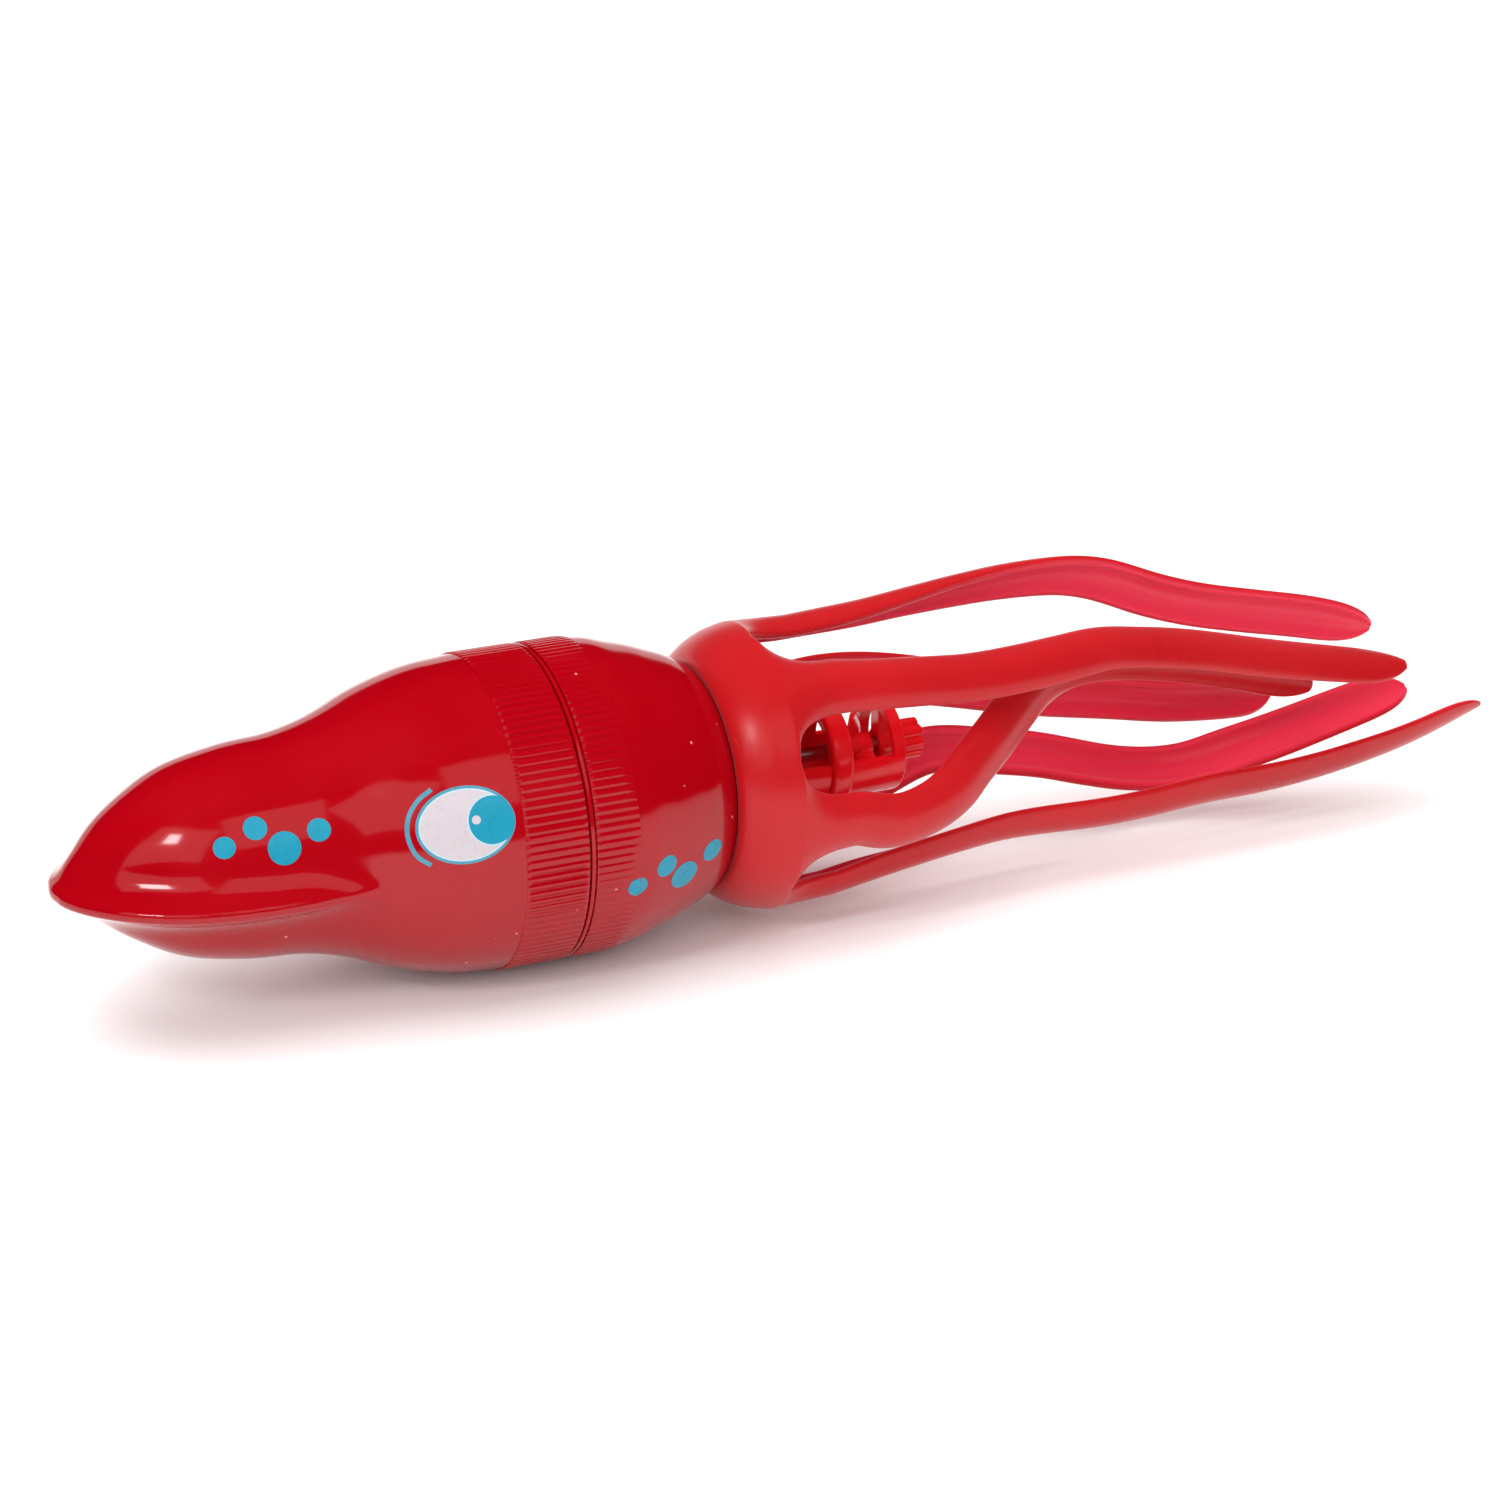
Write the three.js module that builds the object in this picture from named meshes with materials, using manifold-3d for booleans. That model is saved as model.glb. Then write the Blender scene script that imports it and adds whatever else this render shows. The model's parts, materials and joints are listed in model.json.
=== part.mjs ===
// A battery-driven squid bath toy: two glossy shells that screw together on a knurled joint, a motor
// and a propeller in an open tube behind them, and a rubber skirt that ends in six wavy arms.
// Millimetres. The body's axis lies along X, nose towards -X, and +Z is up. The drawing frame has
// x = 0 at the screw joint and z = 0 on the axis; the group at the end stands the toy on its rings.
import * as THREE from 'three';
import { mergeVertices } from 'three/addons/utils/BufferGeometryUtils.js';
import Module from 'manifold-3d';

const wasm = await Module();
wasm.setup();

// Driving dimensions.
const GAP = 0.35;               // clearance between neighbouring pieces
const SIDES = 40;               // flats round each shell, with one flat facing straight down
const RING_R = 31;              // both knurled rings
const HEAD_RING = 12.5;         // length of the head's ring
const REAR_RING = 10;           // length of the rear shell's ring
const RING_STEP = 0.3;          // a ring stands this far above its shell
const WALL = 2.4;               // wall of both shells
const NOSE_ROOM = 36.5;         // front of the battery carrier to the tip of the dome
const CARRIER_PLAY = 1.55;      // carrier to the inside of the head at its waist
const BRIM_HALF_WIDTH = 25;
const BRIM_THICK = 2.8;
const BRIM_DROP = 2.4;          // the brim's mid-plane lies this far under the axis
const BRIM_LEAD = 2.5;          // the brim reaches this far ahead of the dome
const NECK_LENGTH = 11;         // threaded neck on the rear shell
const NECK_R = 25.6;            // bottom of the neck's thread
const NECK_WALL = 2.2;
const THREAD_DEPTH = 1.8;       // neck crest over neck root
const THREAD_PLAY = 0.8;        // radial play of crest to root, both ways
const THREAD_WIDTH = 1.4;
const THREAD_STARTS = 2;
const THREAD_LEAD = 8;          // travel in one turn
const GASKET_DEPTH = 1.2;
const GASKET_WIDTH = 1.5;
const TAIL_X = 34;              // back of the rear shell's visible part
const TAIL_R = 21.9;
const BOSS_R = 20.3;            // boss that holds the rubber collar
const BOSS_LENGTH = 9;
const LIP_HEIGHT = 1.1;         // lip at the end of the boss
const LIP_LENGTH = 2.4;
const CELL_R = 7.25;            // one AA cell
const CELL_LENGTH = 50.5;
const NUB_R = 2.7;
const NUB_LENGTH = 1;
const SPRING_ROOM = 2.4;        // compressed contact spring
const SPRING_WIRE_R = 0.3;
const PLATE = 0.5;              // contact plates
const CARRIER_WALL = 1.4;
const BULKHEAD_X = 2.6;
const BULKHEAD = 2;
const POST_R = 3.2;             // posts in the rear shell that carry the bulkhead
const SCREW_R = 1;
const SCREW_HEAD_R = 2.1;
const SCREW_HEAD = 1.3;
const MOTOR_R = 10.05;          // small flat-sided can motor
const MOTOR_FLAT = 7.55;        // half the distance across its flats
const MOTOR_LENGTH = 25;
const MOTOR_WALL = 1;
const MOTOR_CAP = 3.4;
const CUP_WALL = 1.6;           // cup on the bulkhead that holds the motor
const CUP_LENGTH = 15;
const ROTOR_R = 6.5;
const MOTOR_SHAFT_R = 1;
const DRIVE_SHAFT_R = 1.5;
const COUPLING_R = 3;
const GLAND_R = 3.3;
const TUBE_R = 9.6;             // propeller tube
const TUBE_WALL = 1.6;
const TUBE_LENGTH = 33;
const FLANGE_R = 15;
const FLANGE = 2.4;
const TUBE_SCREW_R = 12;        // pitch circle radius of the tube's screws
const HOOP_R = 10.6;            // hoop between the two open stretches
const HOOP_AT = 17;             // hoop behind the end of the boss
const HOOP_LENGTH = 4.5;
const TUBE_END = 2.6;           // ring and spoke at the tube's far end
const SPOKE = 3.4;
const BEARING_R = 3.2;
const BLADE_R = 7.2;
const BLADES = 3;
const BLADE_THICK = 1;
const HUB_R = 2.6;
const HUB_LENGTH = 7;
const KNOB_R = 4.2;
const KNOB_LENGTH = 5.5;
const KNOB_LOBES = 8;
const RUBBER = 2.3;             // wall of the rubber collar
const SKIRT_R = 28.9;           // fullest part of the collar
const SKIRT_LENGTH = 23.9;      // collar's front rim to where the arms begin
const SKIRT_FULL = 12;          // collar's front rim to its fullest part
const ROOT_R = 28.4;            // outer radius there
const ROOT_WIDTH = 13.2;
const ROOT_DEPTH = 4.5;
const ROOT_GAP = 1;             // room for the arms to bend at their roots
const WINDOW_AT = 11.4;         // collar's front rim to the rounded front edge of its windows
const WINDOW_NOSE = 10;         // length over which a window opens to its full width
const ARM_COUNT = 6;

// Stack-up along the axis, from the screw joint.
const FLANGE_X = 0.4;                                     // front face of the rear ring
const FLANGE_BACK = FLANGE_X + 3;                         // and the back of the wall inside it
const RING_END = FLANGE_X + REAR_RING;
const BOSS_END = TAIL_X + BOSS_LENGTH;
const END_WALL = BOSS_END - WALL;
const CARRIER_END = BULKHEAD_X - 1;                       // back face of the carrier's rear wall
const REAR_FACE = CARRIER_END - CARRIER_WALL;
const FRONT_FACE = REAR_FACE - (GAP + PLATE + GAP) * 2 - SPRING_ROOM - CELL_LENGTH;
const HEAD_LENGTH = CARRIER_WALL - FRONT_FACE + NOSE_ROOM;
const MOTOR_X = BULKHEAD_X + BULKHEAD + GAP + MOTOR_CAP + GAP;
const MOTOR_END = MOTOR_X + MOTOR_LENGTH;
const HOOP_X = BOSS_END + HOOP_AT;
const COLLAR_X = TAIL_X + 0.1;
const WINDOW_FRONT = COLLAR_X + WINDOW_AT;
const ROOT_X = COLLAR_X + SKIRT_LENGTH;

// Radii that follow from what the shells hold.
const CELL_Y = CELL_R + 0.3;
const CARRIER_REACH = CELL_Y + CELL_R + GAP;
const WAIST_R = CARRIER_REACH + CARRIER_WALL + CARRIER_PLAY + WALL;
const HEAD_BORE = NECK_R + THREAD_DEPTH + THREAD_PLAY;
const CUP_R = MOTOR_R + GAP;
const POST_AT = CUP_R + CUP_WALL + 1 + POST_R;            // posts stand this far above and below the axis

const material = (color, roughness, metalness = 0) =>
  new THREE.MeshStandardMaterial({ color, roughness, metalness });
const GLOSS_RED = material(0xc40016, 0.15);
const RUBBER_RED = material(0xd83434, 0.55);
const INNER_RED = material(0xb80f1c, 0.3);
const SEAL_BLACK = material(0x202020, 0.7);
const CARRIER_GREY = material(0x4a4c50, 0.5);
const CELL_JACKET = material(0x2b3a4a, 0.4);
const STEEL = material(0xb9bcc0, 0.3, 0.9);
const BRASS = material(0xb59a4c, 0.35, 0.9);
const WHITE_PLASTIC = material(0xe8e6df, 0.5);

// A closed geometry becomes a solid: shared corners are merged, empty triangles are dropped, and
// the faces are turned outwards if the shape was drawn inside out.
function solid(geometry) {
  let g = geometry.clone();
  g.deleteAttribute('normal');
  g.deleteAttribute('uv');
  g = mergeVertices(g, 1e-4);
  const points = g.attributes.position.array;
  const corners = g.index.array;
  const triangles = [];
  const a = new THREE.Vector3(), b = new THREE.Vector3(), c = new THREE.Vector3();
  let volume = 0;
  for (let i = 0; i < corners.length; i += 3) {
    const [p, q, r] = [corners[i], corners[i + 1], corners[i + 2]];
    if (p === q || q === r || p === r) continue;
    triangles.push([p, q, r]);
    a.fromArray(points, 3 * p);
    b.fromArray(points, 3 * q);
    c.fromArray(points, 3 * r);
    volume += a.dot(b.cross(c));
  }
  const outward = triangles.flatMap(([p, q, r]) => (volume < 0 ? [p, r, q] : [p, q, r]));
  const triVerts = new Uint32Array(outward);
  const vertProperties = new Float32Array(points);
  return new wasm.Manifold(new wasm.Mesh({ numProp: 3, vertProperties, triVerts }));
}

function union(...parts) {
  return parts.reduce((whole, part) => whole.add(part));
}

// Turned shape about the X axis from [x, radius] points, closed on itself or ending on the axis.
function turned(profile, sides = SIDES) {
  const points = profile.map(([x, r]) => new THREE.Vector2(r, x));
  const half = Math.PI / sides;
  return solid(new THREE.LatheGeometry(points, sides, half, 2 * Math.PI).rotateZ(-Math.PI / 2));
}

// Closed ring section given by its two radii and two ends.
function ring(x0, x1, inner, outer, sides = SIDES) {
  return turned([[x0, inner], [x0, outer], [x1, outer], [x1, inner], [x0, inner]], sides);
}

function rod(x0, x1, radius, y = 0, z = 0, sides = 20) {
  const g = new THREE.CylinderGeometry(radius, radius, x1 - x0, sides).rotateZ(-Math.PI / 2);
  return solid(g.translate((x0 + x1) / 2, y, z));
}

function block(x0, x1, y0, y1, z0, z1) {
  const g = new THREE.BoxGeometry(x1 - x0, y1 - y0, z1 - z0);
  return solid(g.translate((x0 + x1) / 2, (y0 + y1) / 2, (z0 + z1) / 2));
}

// A flat outline drawn in the Y-Z plane and extruded from x0 to x1.
function plateAlongX(outline, x0, x1) {
  const g = new THREE.ExtrudeGeometry(outline, { depth: x1 - x0, bevelEnabled: false, curveSegments: 8 });
  return solid(g.rotateY(Math.PI / 2).rotateX(Math.PI / 2).translate(x0, 0, 0));
}

// Two half rounds joined by flats: half height along Z, half width along Y.
function stadium(halfWidth, halfHeight) {
  const reach = halfWidth - halfHeight;
  const s = new THREE.Shape();
  s.absarc(reach, 0, halfHeight, -Math.PI / 2, Math.PI / 2, false);
  s.absarc(-reach, 0, halfHeight, Math.PI / 2, 1.5 * Math.PI, false);
  s.closePath();
  return s;
}

// Skin over a row of closed sections that have the same number of points, with flat ends.
function loft(sections) {
  const count = sections[0].length;
  const points = sections.flat().flatMap((p) => [p.x, p.y, p.z]);
  const index = [];
  for (let i = 0; i + 1 < sections.length; i++) {
    for (let j = 0; j < count; j++) {
      const k = (j + 1) % count;
      const [a, b, c, d] = [i * count + j, i * count + k, (i + 1) * count + k, (i + 1) * count + j];
      index.push(a, b, c, a, c, d);
    }
  }
  const last = (sections.length - 1) * count;
  for (let j = 0; j < count / 2 - 1; j++) {
    const [a, b, c, d] = [j, j + 1, count - 2 - j, count - 1 - j];
    index.push(a, c, b, a, d, c);
    index.push(last + a, last + b, last + c, last + a, last + c, last + d);
  }
  const g = new THREE.BufferGeometry();
  g.setAttribute('position', new THREE.Float32BufferAttribute(points, 3));
  g.setIndex(index);
  return solid(g);
}

const model = new THREE.Group();

function place(name, shape, look) {
  const { vertProperties, triVerts } = shape.getMesh();
  const g = new THREE.BufferGeometry();
  g.setAttribute('position', new THREE.Float32BufferAttribute(vertProperties, 3));
  g.setIndex(Array.from(triVerts));
  const flat = g.toNonIndexed();
  flat.computeVertexNormals();
  const mesh = new THREE.Mesh(flat, look);
  mesh.name = name;
  model.add(mesh);
}

const radians = THREE.MathUtils.degToRad;

// Unit vector across the axis: 0 degrees points to -Y and 90 degrees points up.
const across = (degrees) => new THREE.Vector3(0, -Math.cos(radians(degrees)), Math.sin(radians(degrees)));

// Thread ridge: a tapered section carried round the axis, between two stations along X.
function threadRidge(root, crest, xStart, xEnd, phase) {
  const steps = Math.ceil(((xEnd - xStart) / THREAD_LEAD) * 24);
  const sections = [];
  for (let i = 0; i <= steps; i++) {
    const x = xStart + ((xEnd - xStart) * i) / steps;
    const out = across(phase - (360 * x) / THREAD_LEAD);
    const corner = (dx, r) => out.clone().multiplyScalar(r).setX(x + dx);
    const wide = THREAD_WIDTH / 2;
    const narrow = wide * 0.7;
    const foot = [corner(-wide, root), corner(wide, root)];
    sections.push([...foot, corner(narrow, crest), corner(-narrow, crest)]);
  }
  return loft(sections);
}

// ---- Head shell: dome, brim and knurled ring in one moulding, with the female thread ----
const dome = [
  [-HEAD_LENGTH, 0.1 * WAIST_R], [-HEAD_LENGTH + 3, 0.24 * WAIST_R], [-HEAD_LENGTH + 7, 0.46 * WAIST_R],
  [-HEAD_LENGTH + 13, 0.68 * WAIST_R], [-HEAD_LENGTH + 21, 0.88 * WAIST_R], [-HEAD_LENGTH + 33, WAIST_R],
  [-HEAD_LENGTH + 43, WAIST_R + 0.8], [-HEAD_LENGTH + 51, WAIST_R + 2.7],
  [-HEAD_RING - 19.5, RING_R - 3.8], [-HEAD_RING - 9.5, RING_R - 1.2],
];
const headOutside = [
  [-HEAD_LENGTH - 0.3, 0], ...dome,
  [-HEAD_RING, RING_R - RING_STEP], [-HEAD_RING, RING_R], [0, RING_R], [0, 0],
];
const inside = dome.slice(1).map(([x, r]) => [x + WALL * 0.55, r - WALL]);
const headInside = [
  [-HEAD_LENGTH + WALL, 0], ...inside, [-HEAD_RING - 2, HEAD_BORE - 0.7], [-HEAD_RING + 0.5, HEAD_BORE],
  [1, HEAD_BORE], [1, 0],
];

function brim() {
  const front = -HEAD_LENGTH - BRIM_LEAD;
  const wide = BRIM_HALF_WIDTH;
  const edge = [
    [front, 0], [front + 1, 0.2 * wide], [front + 3.5, 0.38 * wide], [front + 7.5, 0.56 * wide],
    [front + 12.5, 0.72 * wide], [front + 19.5, 0.87 * wide], [front + 27.5, 0.96 * wide],
    [front + 35.5, wide], [front + 43.5, wide], [front + 51, 0.98 * wide], [front + 57.5, wide],
  ];
  const near = edge.map(([x, y]) => new THREE.Vector2(x, y));
  const far = edge.slice(1).reverse().map(([x, y]) => new THREE.Vector2(x, -y));
  const outline = new THREE.Shape([...far, ...near]);
  const bevel = 0.9;
  const g = new THREE.ExtrudeGeometry(outline, {
    depth: BRIM_THICK - 2 * bevel,
    bevelSize: bevel, bevelThickness: bevel, bevelOffset: -bevel, bevelSegments: 2,
  });
  return solid(g.translate(0, 0, -BRIM_DROP - BRIM_THICK / 2 + bevel));
}

{
  const groove = ring(-GASKET_DEPTH - GAP, 1, HEAD_BORE - 1, HEAD_BORE + GASKET_WIDTH + GAP);
  let shell = turned(headOutside).add(brim()).subtract(turned(headInside)).subtract(groove);
  for (let start = 0; start < THREAD_STARTS; start++) {
    const phase = (360 / THREAD_STARTS) * (start + 0.5);
    const ridge = threadRidge(HEAD_BORE + 0.8, NECK_R + THREAD_PLAY, 1.4 - NECK_LENGTH, -3, phase);
    shell = shell.add(ridge);
  }
  place('head_shell', shell, GLOSS_RED);
}

// Flat rubber ring in the mouth of the head.
place('cap_gasket',
  ring(-GASKET_DEPTH, 0.05, HEAD_BORE, HEAD_BORE + GASKET_WIDTH), SEAL_BLACK);

// ---- Rear shell: threaded neck, knurled ring, rounded tail and the boss for the rubber ----
{
  const neckIn = NECK_R - NECK_WALL;
  const tailCurve = [
    [RING_END, RING_R - RING_STEP], [TAIL_X - 20, RING_R - 0.8], [TAIL_X - 16, RING_R - 2],
    [TAIL_X - 12, RING_R - 3.2], [TAIL_X - 9, RING_R - 4.3], [TAIL_X - 5, TAIL_R + 3.2],
    [TAIL_X - 2, TAIL_R + 1.6], [TAIL_X, TAIL_R],
  ];
  const tailInside = tailCurve.slice(0, -1).map(([x, r]) => [x - 1, r - WALL]).reverse();
  const outline = [
    [-NECK_LENGTH, NECK_R], [FLANGE_X, NECK_R], [FLANGE_X, RING_R], [RING_END, RING_R],
    ...tailCurve, [TAIL_X, BOSS_R], [BOSS_END - LIP_LENGTH, BOSS_R],
    [BOSS_END - LIP_LENGTH + 0.3, BOSS_R + LIP_HEIGHT], [BOSS_END, BOSS_R + LIP_HEIGHT - 0.2],
  ];
  const profile = [
    [-NECK_LENGTH, neckIn], ...outline, [BOSS_END, GLAND_R + GAP], [END_WALL, GLAND_R + GAP],
    [END_WALL, BOSS_R - WALL], [TAIL_X - 2, BOSS_R - WALL], ...tailInside,
    [FLANGE_BACK, RING_R - RING_STEP - WALL], [FLANGE_BACK, neckIn], [-NECK_LENGTH, neckIn],
  ];
  const filled = turned([[-NECK_LENGTH, 0], ...outline, [BOSS_END, 0]]);
  let shell = turned(profile);
  for (let start = 0; start < THREAD_STARTS; start++) {
    const phase = (360 / THREAD_STARTS) * start;
    const ridge = threadRidge(NECK_R - 0.6, NECK_R + THREAD_DEPTH, 1.2 - NECK_LENGTH, -1.6, phase);
    shell = shell.add(ridge);
  }
  const postFront = BULKHEAD_X + BULKHEAD + GAP;
  for (const side of [-1, 1]) {
    shell = shell.add(rod(postFront, END_WALL + 0.5, POST_R, 0, side * POST_AT).intersect(filled));
    shell = shell.subtract(rod(postFront - 1, postFront + 12, SCREW_R + GAP, 0, side * POST_AT));
  }
  for (let i = 0; i < 3; i++) {
    const at = across(90 + 120 * i + 30).multiplyScalar(TUBE_SCREW_R);
    shell = shell.subtract(rod(END_WALL - 1, BOSS_END + 1, SCREW_R + GAP, at.y, at.z));
  }
  place('rear_shell', shell, GLOSS_RED);
}

// ---- Bulkhead with the motor's cup, screwed to the two posts ----
{
  const back = BULKHEAD_X + BULKHEAD;
  let shape = rod(BULKHEAD_X, back, NECK_R - NECK_WALL - GAP, 0, 0, SIDES);
  shape = shape.add(ring(back - 0.5, back + CUP_LENGTH, CUP_R, CUP_R + CUP_WALL, 32));
  for (const side of [-1, 1]) {
    shape = shape.subtract(rod(BULKHEAD_X - 1, back + 1, SCREW_R + GAP, 0, side * POST_AT));
    shape = shape.subtract(block(BULKHEAD_X - 1, back + 1, side * 5 - 1, side * 5 + 1, -2, 2));
  }
  place('bulkhead', shape, INNER_RED);
}

function screw(headX, length, y, z) {
  const head = rod(headX - SCREW_HEAD, headX, SCREW_HEAD_R, y, z, 16);
  const shank = rod(headX - 0.2, headX + length, SCREW_R, y, z, 12);
  const slot = block(headX - SCREW_HEAD - 1, headX - 0.7, y - 0.3, y + 0.3, z - 1.4, z + 1.4);
  const cross = block(headX - SCREW_HEAD - 1, headX - 0.7, y - 1.4, y + 1.4, z - 0.3, z + 0.3);
  return union(head, shank).subtract(slot).subtract(cross);
}

[-1, 1].forEach((side, i) => {
  place(`bulkhead_screw_${i + 1}`, screw(BULKHEAD_X - GAP, 11, 0, side * POST_AT), STEEL);
});

// ---- Motor: can, brush end cap, rotor, and its shaft ----
function motorBody(x0, x1, radius, flat) {
  const tall = block(x0 - 1, x1 + 1, -radius - 1, radius + 1, -flat, flat);
  return rod(x0, x1, radius, 0, 0, 32).intersect(tall);
}
place('motor_can',
  motorBody(MOTOR_X, MOTOR_END, MOTOR_R, MOTOR_FLAT)
    .subtract(motorBody(MOTOR_X - 1, MOTOR_END - MOTOR_WALL, MOTOR_R - MOTOR_WALL, MOTOR_FLAT - MOTOR_WALL))
    .subtract(rod(MOTOR_END - 3, MOTOR_END + 1, MOTOR_SHAFT_R + GAP)), STEEL);
place('motor_end_cap',
  motorBody(MOTOR_X - GAP - MOTOR_CAP, MOTOR_X - GAP, MOTOR_R - 0.2, MOTOR_FLAT)
    .subtract(rod(MOTOR_X - 2.2, MOTOR_X, MOTOR_SHAFT_R + GAP)), WHITE_PLASTIC);
const ROTOR_X = MOTOR_X + 4;
place('motor_rotor',
  ring(ROTOR_X, ROTOR_X + 15, MOTOR_SHAFT_R + GAP, ROTOR_R - 0.6, 24), BRASS);
const COUPLING_X = BOSS_END + 1.5;
const SHAFT_JOIN = COUPLING_X + 3;
place('motor_shaft', rod(MOTOR_X + 1, SHAFT_JOIN - GAP / 2, MOTOR_SHAFT_R), STEEL);

// ---- Water seal and shaft coupling ----
place('shaft_gland',
  ring(END_WALL + 0.1, BOSS_END - 0.1, MOTOR_SHAFT_R + GAP, GLAND_R, 24), SEAL_BLACK);
{
  const sleeve = rod(COUPLING_X, COUPLING_X + 8, COUPLING_R, 0, 0, 24);
  const front = rod(COUPLING_X - 1, SHAFT_JOIN + 0.2, MOTOR_SHAFT_R + GAP);
  const rear = rod(SHAFT_JOIN, COUPLING_X + 9, DRIVE_SHAFT_R + GAP);
  place('shaft_coupling', sleeve.subtract(front).subtract(rear), INNER_RED);
}
const TUBE_END_X = BOSS_END + GAP + TUBE_LENGTH;
const KNOB_X = TUBE_END_X + 1;
place('drive_shaft', rod(SHAFT_JOIN + GAP / 2 + 0.2, KNOB_X + KNOB_LENGTH - 2, DRIVE_SHAFT_R), STEEL);

// ---- Battery carrier, cells and contacts ----
{
  const outer = stadium(CARRIER_REACH + CARRIER_WALL, CELL_R + GAP + CARRIER_WALL);
  const pocket = stadium(CARRIER_REACH, CELL_R + GAP);
  const front = FRONT_FACE - CARRIER_WALL;
  const shape = plateAlongX(outer, front, CARRIER_END)
    .subtract(plateAlongX(pocket, FRONT_FACE, REAR_FACE))
    .subtract(block(FRONT_FACE - 5, REAR_FACE + 5, -30, 30, 2.5, 30));
  place('battery_carrier', shape, CARRIER_GREY);
}
const FRONT_PLATE = FRONT_FACE + GAP;
const REAR_PLATE = REAR_FACE - GAP - PLATE;
function contactPlate(x, y0, y1) {
  return block(x, x + PLATE, y0, y1, -4, 4);
}
place('front_contact', contactPlate(FRONT_PLATE, -CELL_Y - 4, CELL_Y + 4), STEEL);
place('rear_contact_1', contactPlate(REAR_PLATE, -CELL_Y - 4, -CELL_Y + 4), STEEL);
place('rear_contact_2', contactPlate(REAR_PLATE, CELL_Y - 4, CELL_Y + 4), STEEL);

function cell(x0, y, nubForward) {
  const body = CELL_LENGTH - NUB_LENGTH;
  const start = nubForward ? x0 + NUB_LENGTH : x0;
  const nub = nubForward ? [x0, start + 0.3] : [x0 + body - 0.3, x0 + CELL_LENGTH];
  return rod(start, start + body, CELL_R, y, 0, 32).add(rod(nub[0], nub[1], NUB_R, y, 0, 16));
}
const CELL_FRONT = FRONT_PLATE + PLATE + GAP;
place('battery_1', cell(CELL_FRONT, -CELL_Y, true), CELL_JACKET);
place('battery_2', cell(CELL_FRONT + SPRING_ROOM, CELL_Y, false), CELL_JACKET);

function contactSpring(x0, x1, y) {
  const turns = 2.5;
  class Coil extends THREE.Curve {
    getPoint(t, target = new THREE.Vector3()) {
      const angle = 2 * Math.PI * turns * t;
      const radius = 3.4 - 1.2 * t;
      const along = x0 + SPRING_WIRE_R + (x1 - x0 - 2 * SPRING_WIRE_R) * t;
      return target.set(along, y + radius * Math.cos(angle), radius * Math.sin(angle));
    }
  }
  const wire = new THREE.Shape().absarc(0, 0, SPRING_WIRE_R, 0, 2 * Math.PI, false);
  const g = new THREE.ExtrudeGeometry(wire, { steps: 26, curveSegments: 3, extrudePath: new Coil() });
  return solid(g);
}
place('contact_spring_1', contactSpring(CELL_FRONT + 0.05, CELL_FRONT + SPRING_ROOM - 0.25, CELL_Y), STEEL);
place('contact_spring_2',
  contactSpring(CELL_FRONT + CELL_LENGTH + 0.25, REAR_PLATE - 0.05, -CELL_Y), STEEL);

// ---- Propeller tube: flange, two open stretches with a hoop between them, end ring and spoke ----
const FLANGE_FRONT = BOSS_END + GAP;
const BORE_R = TUBE_R - TUBE_WALL;
{
  const flangeEnd = FLANGE_FRONT + FLANGE;
  let shape = ring(FLANGE_FRONT, flangeEnd, BORE_R, FLANGE_R, 36)
    .add(ring(flangeEnd - 0.5, TUBE_END_X, BORE_R, TUBE_R, 36))
    .add(ring(HOOP_X, HOOP_X + HOOP_LENGTH, BORE_R, HOOP_R, 36));
  const ledge = 0.6;                                      // the open stretches stop just above the axis
  shape = shape
    .subtract(block(HOOP_X - 7.5, HOOP_X - 0.01, -20, 20, ledge, 20))
    .subtract(block(HOOP_X + HOOP_LENGTH, TUBE_END_X - TUBE_END, -20, 20, ledge, 20));
  const spoke = block(TUBE_END_X - TUBE_END, TUBE_END_X, -SPOKE / 2, SPOKE / 2, -TUBE_R + 0.6, TUBE_R - 0.6);
  const bearing = rod(TUBE_END_X - TUBE_END, TUBE_END_X + 0.6, BEARING_R, 0, 0, 24);
  shape = shape.add(spoke).add(bearing).subtract(rod(HOOP_X, TUBE_END_X + 5, DRIVE_SHAFT_R + 0.1, 0, 0, 20));
  for (let i = 0; i < 3; i++) {
    const at = across(90 + 120 * i + 30).multiplyScalar(TUBE_SCREW_R);
    shape = shape.subtract(rod(FLANGE_FRONT - 1, flangeEnd + 1, SCREW_R + GAP, at.y, at.z));
    const turnedScrew = screw(0, FLANGE + 1.6 + GAP, 0, 0).rotate([0, 180, 0]);
    place(`tube_screw_${i + 1}`, turnedScrew.translate([flangeEnd + GAP, at.y, at.z]), STEEL);
  }
  place('propeller_tube', shape, GLOSS_RED);
}

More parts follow.
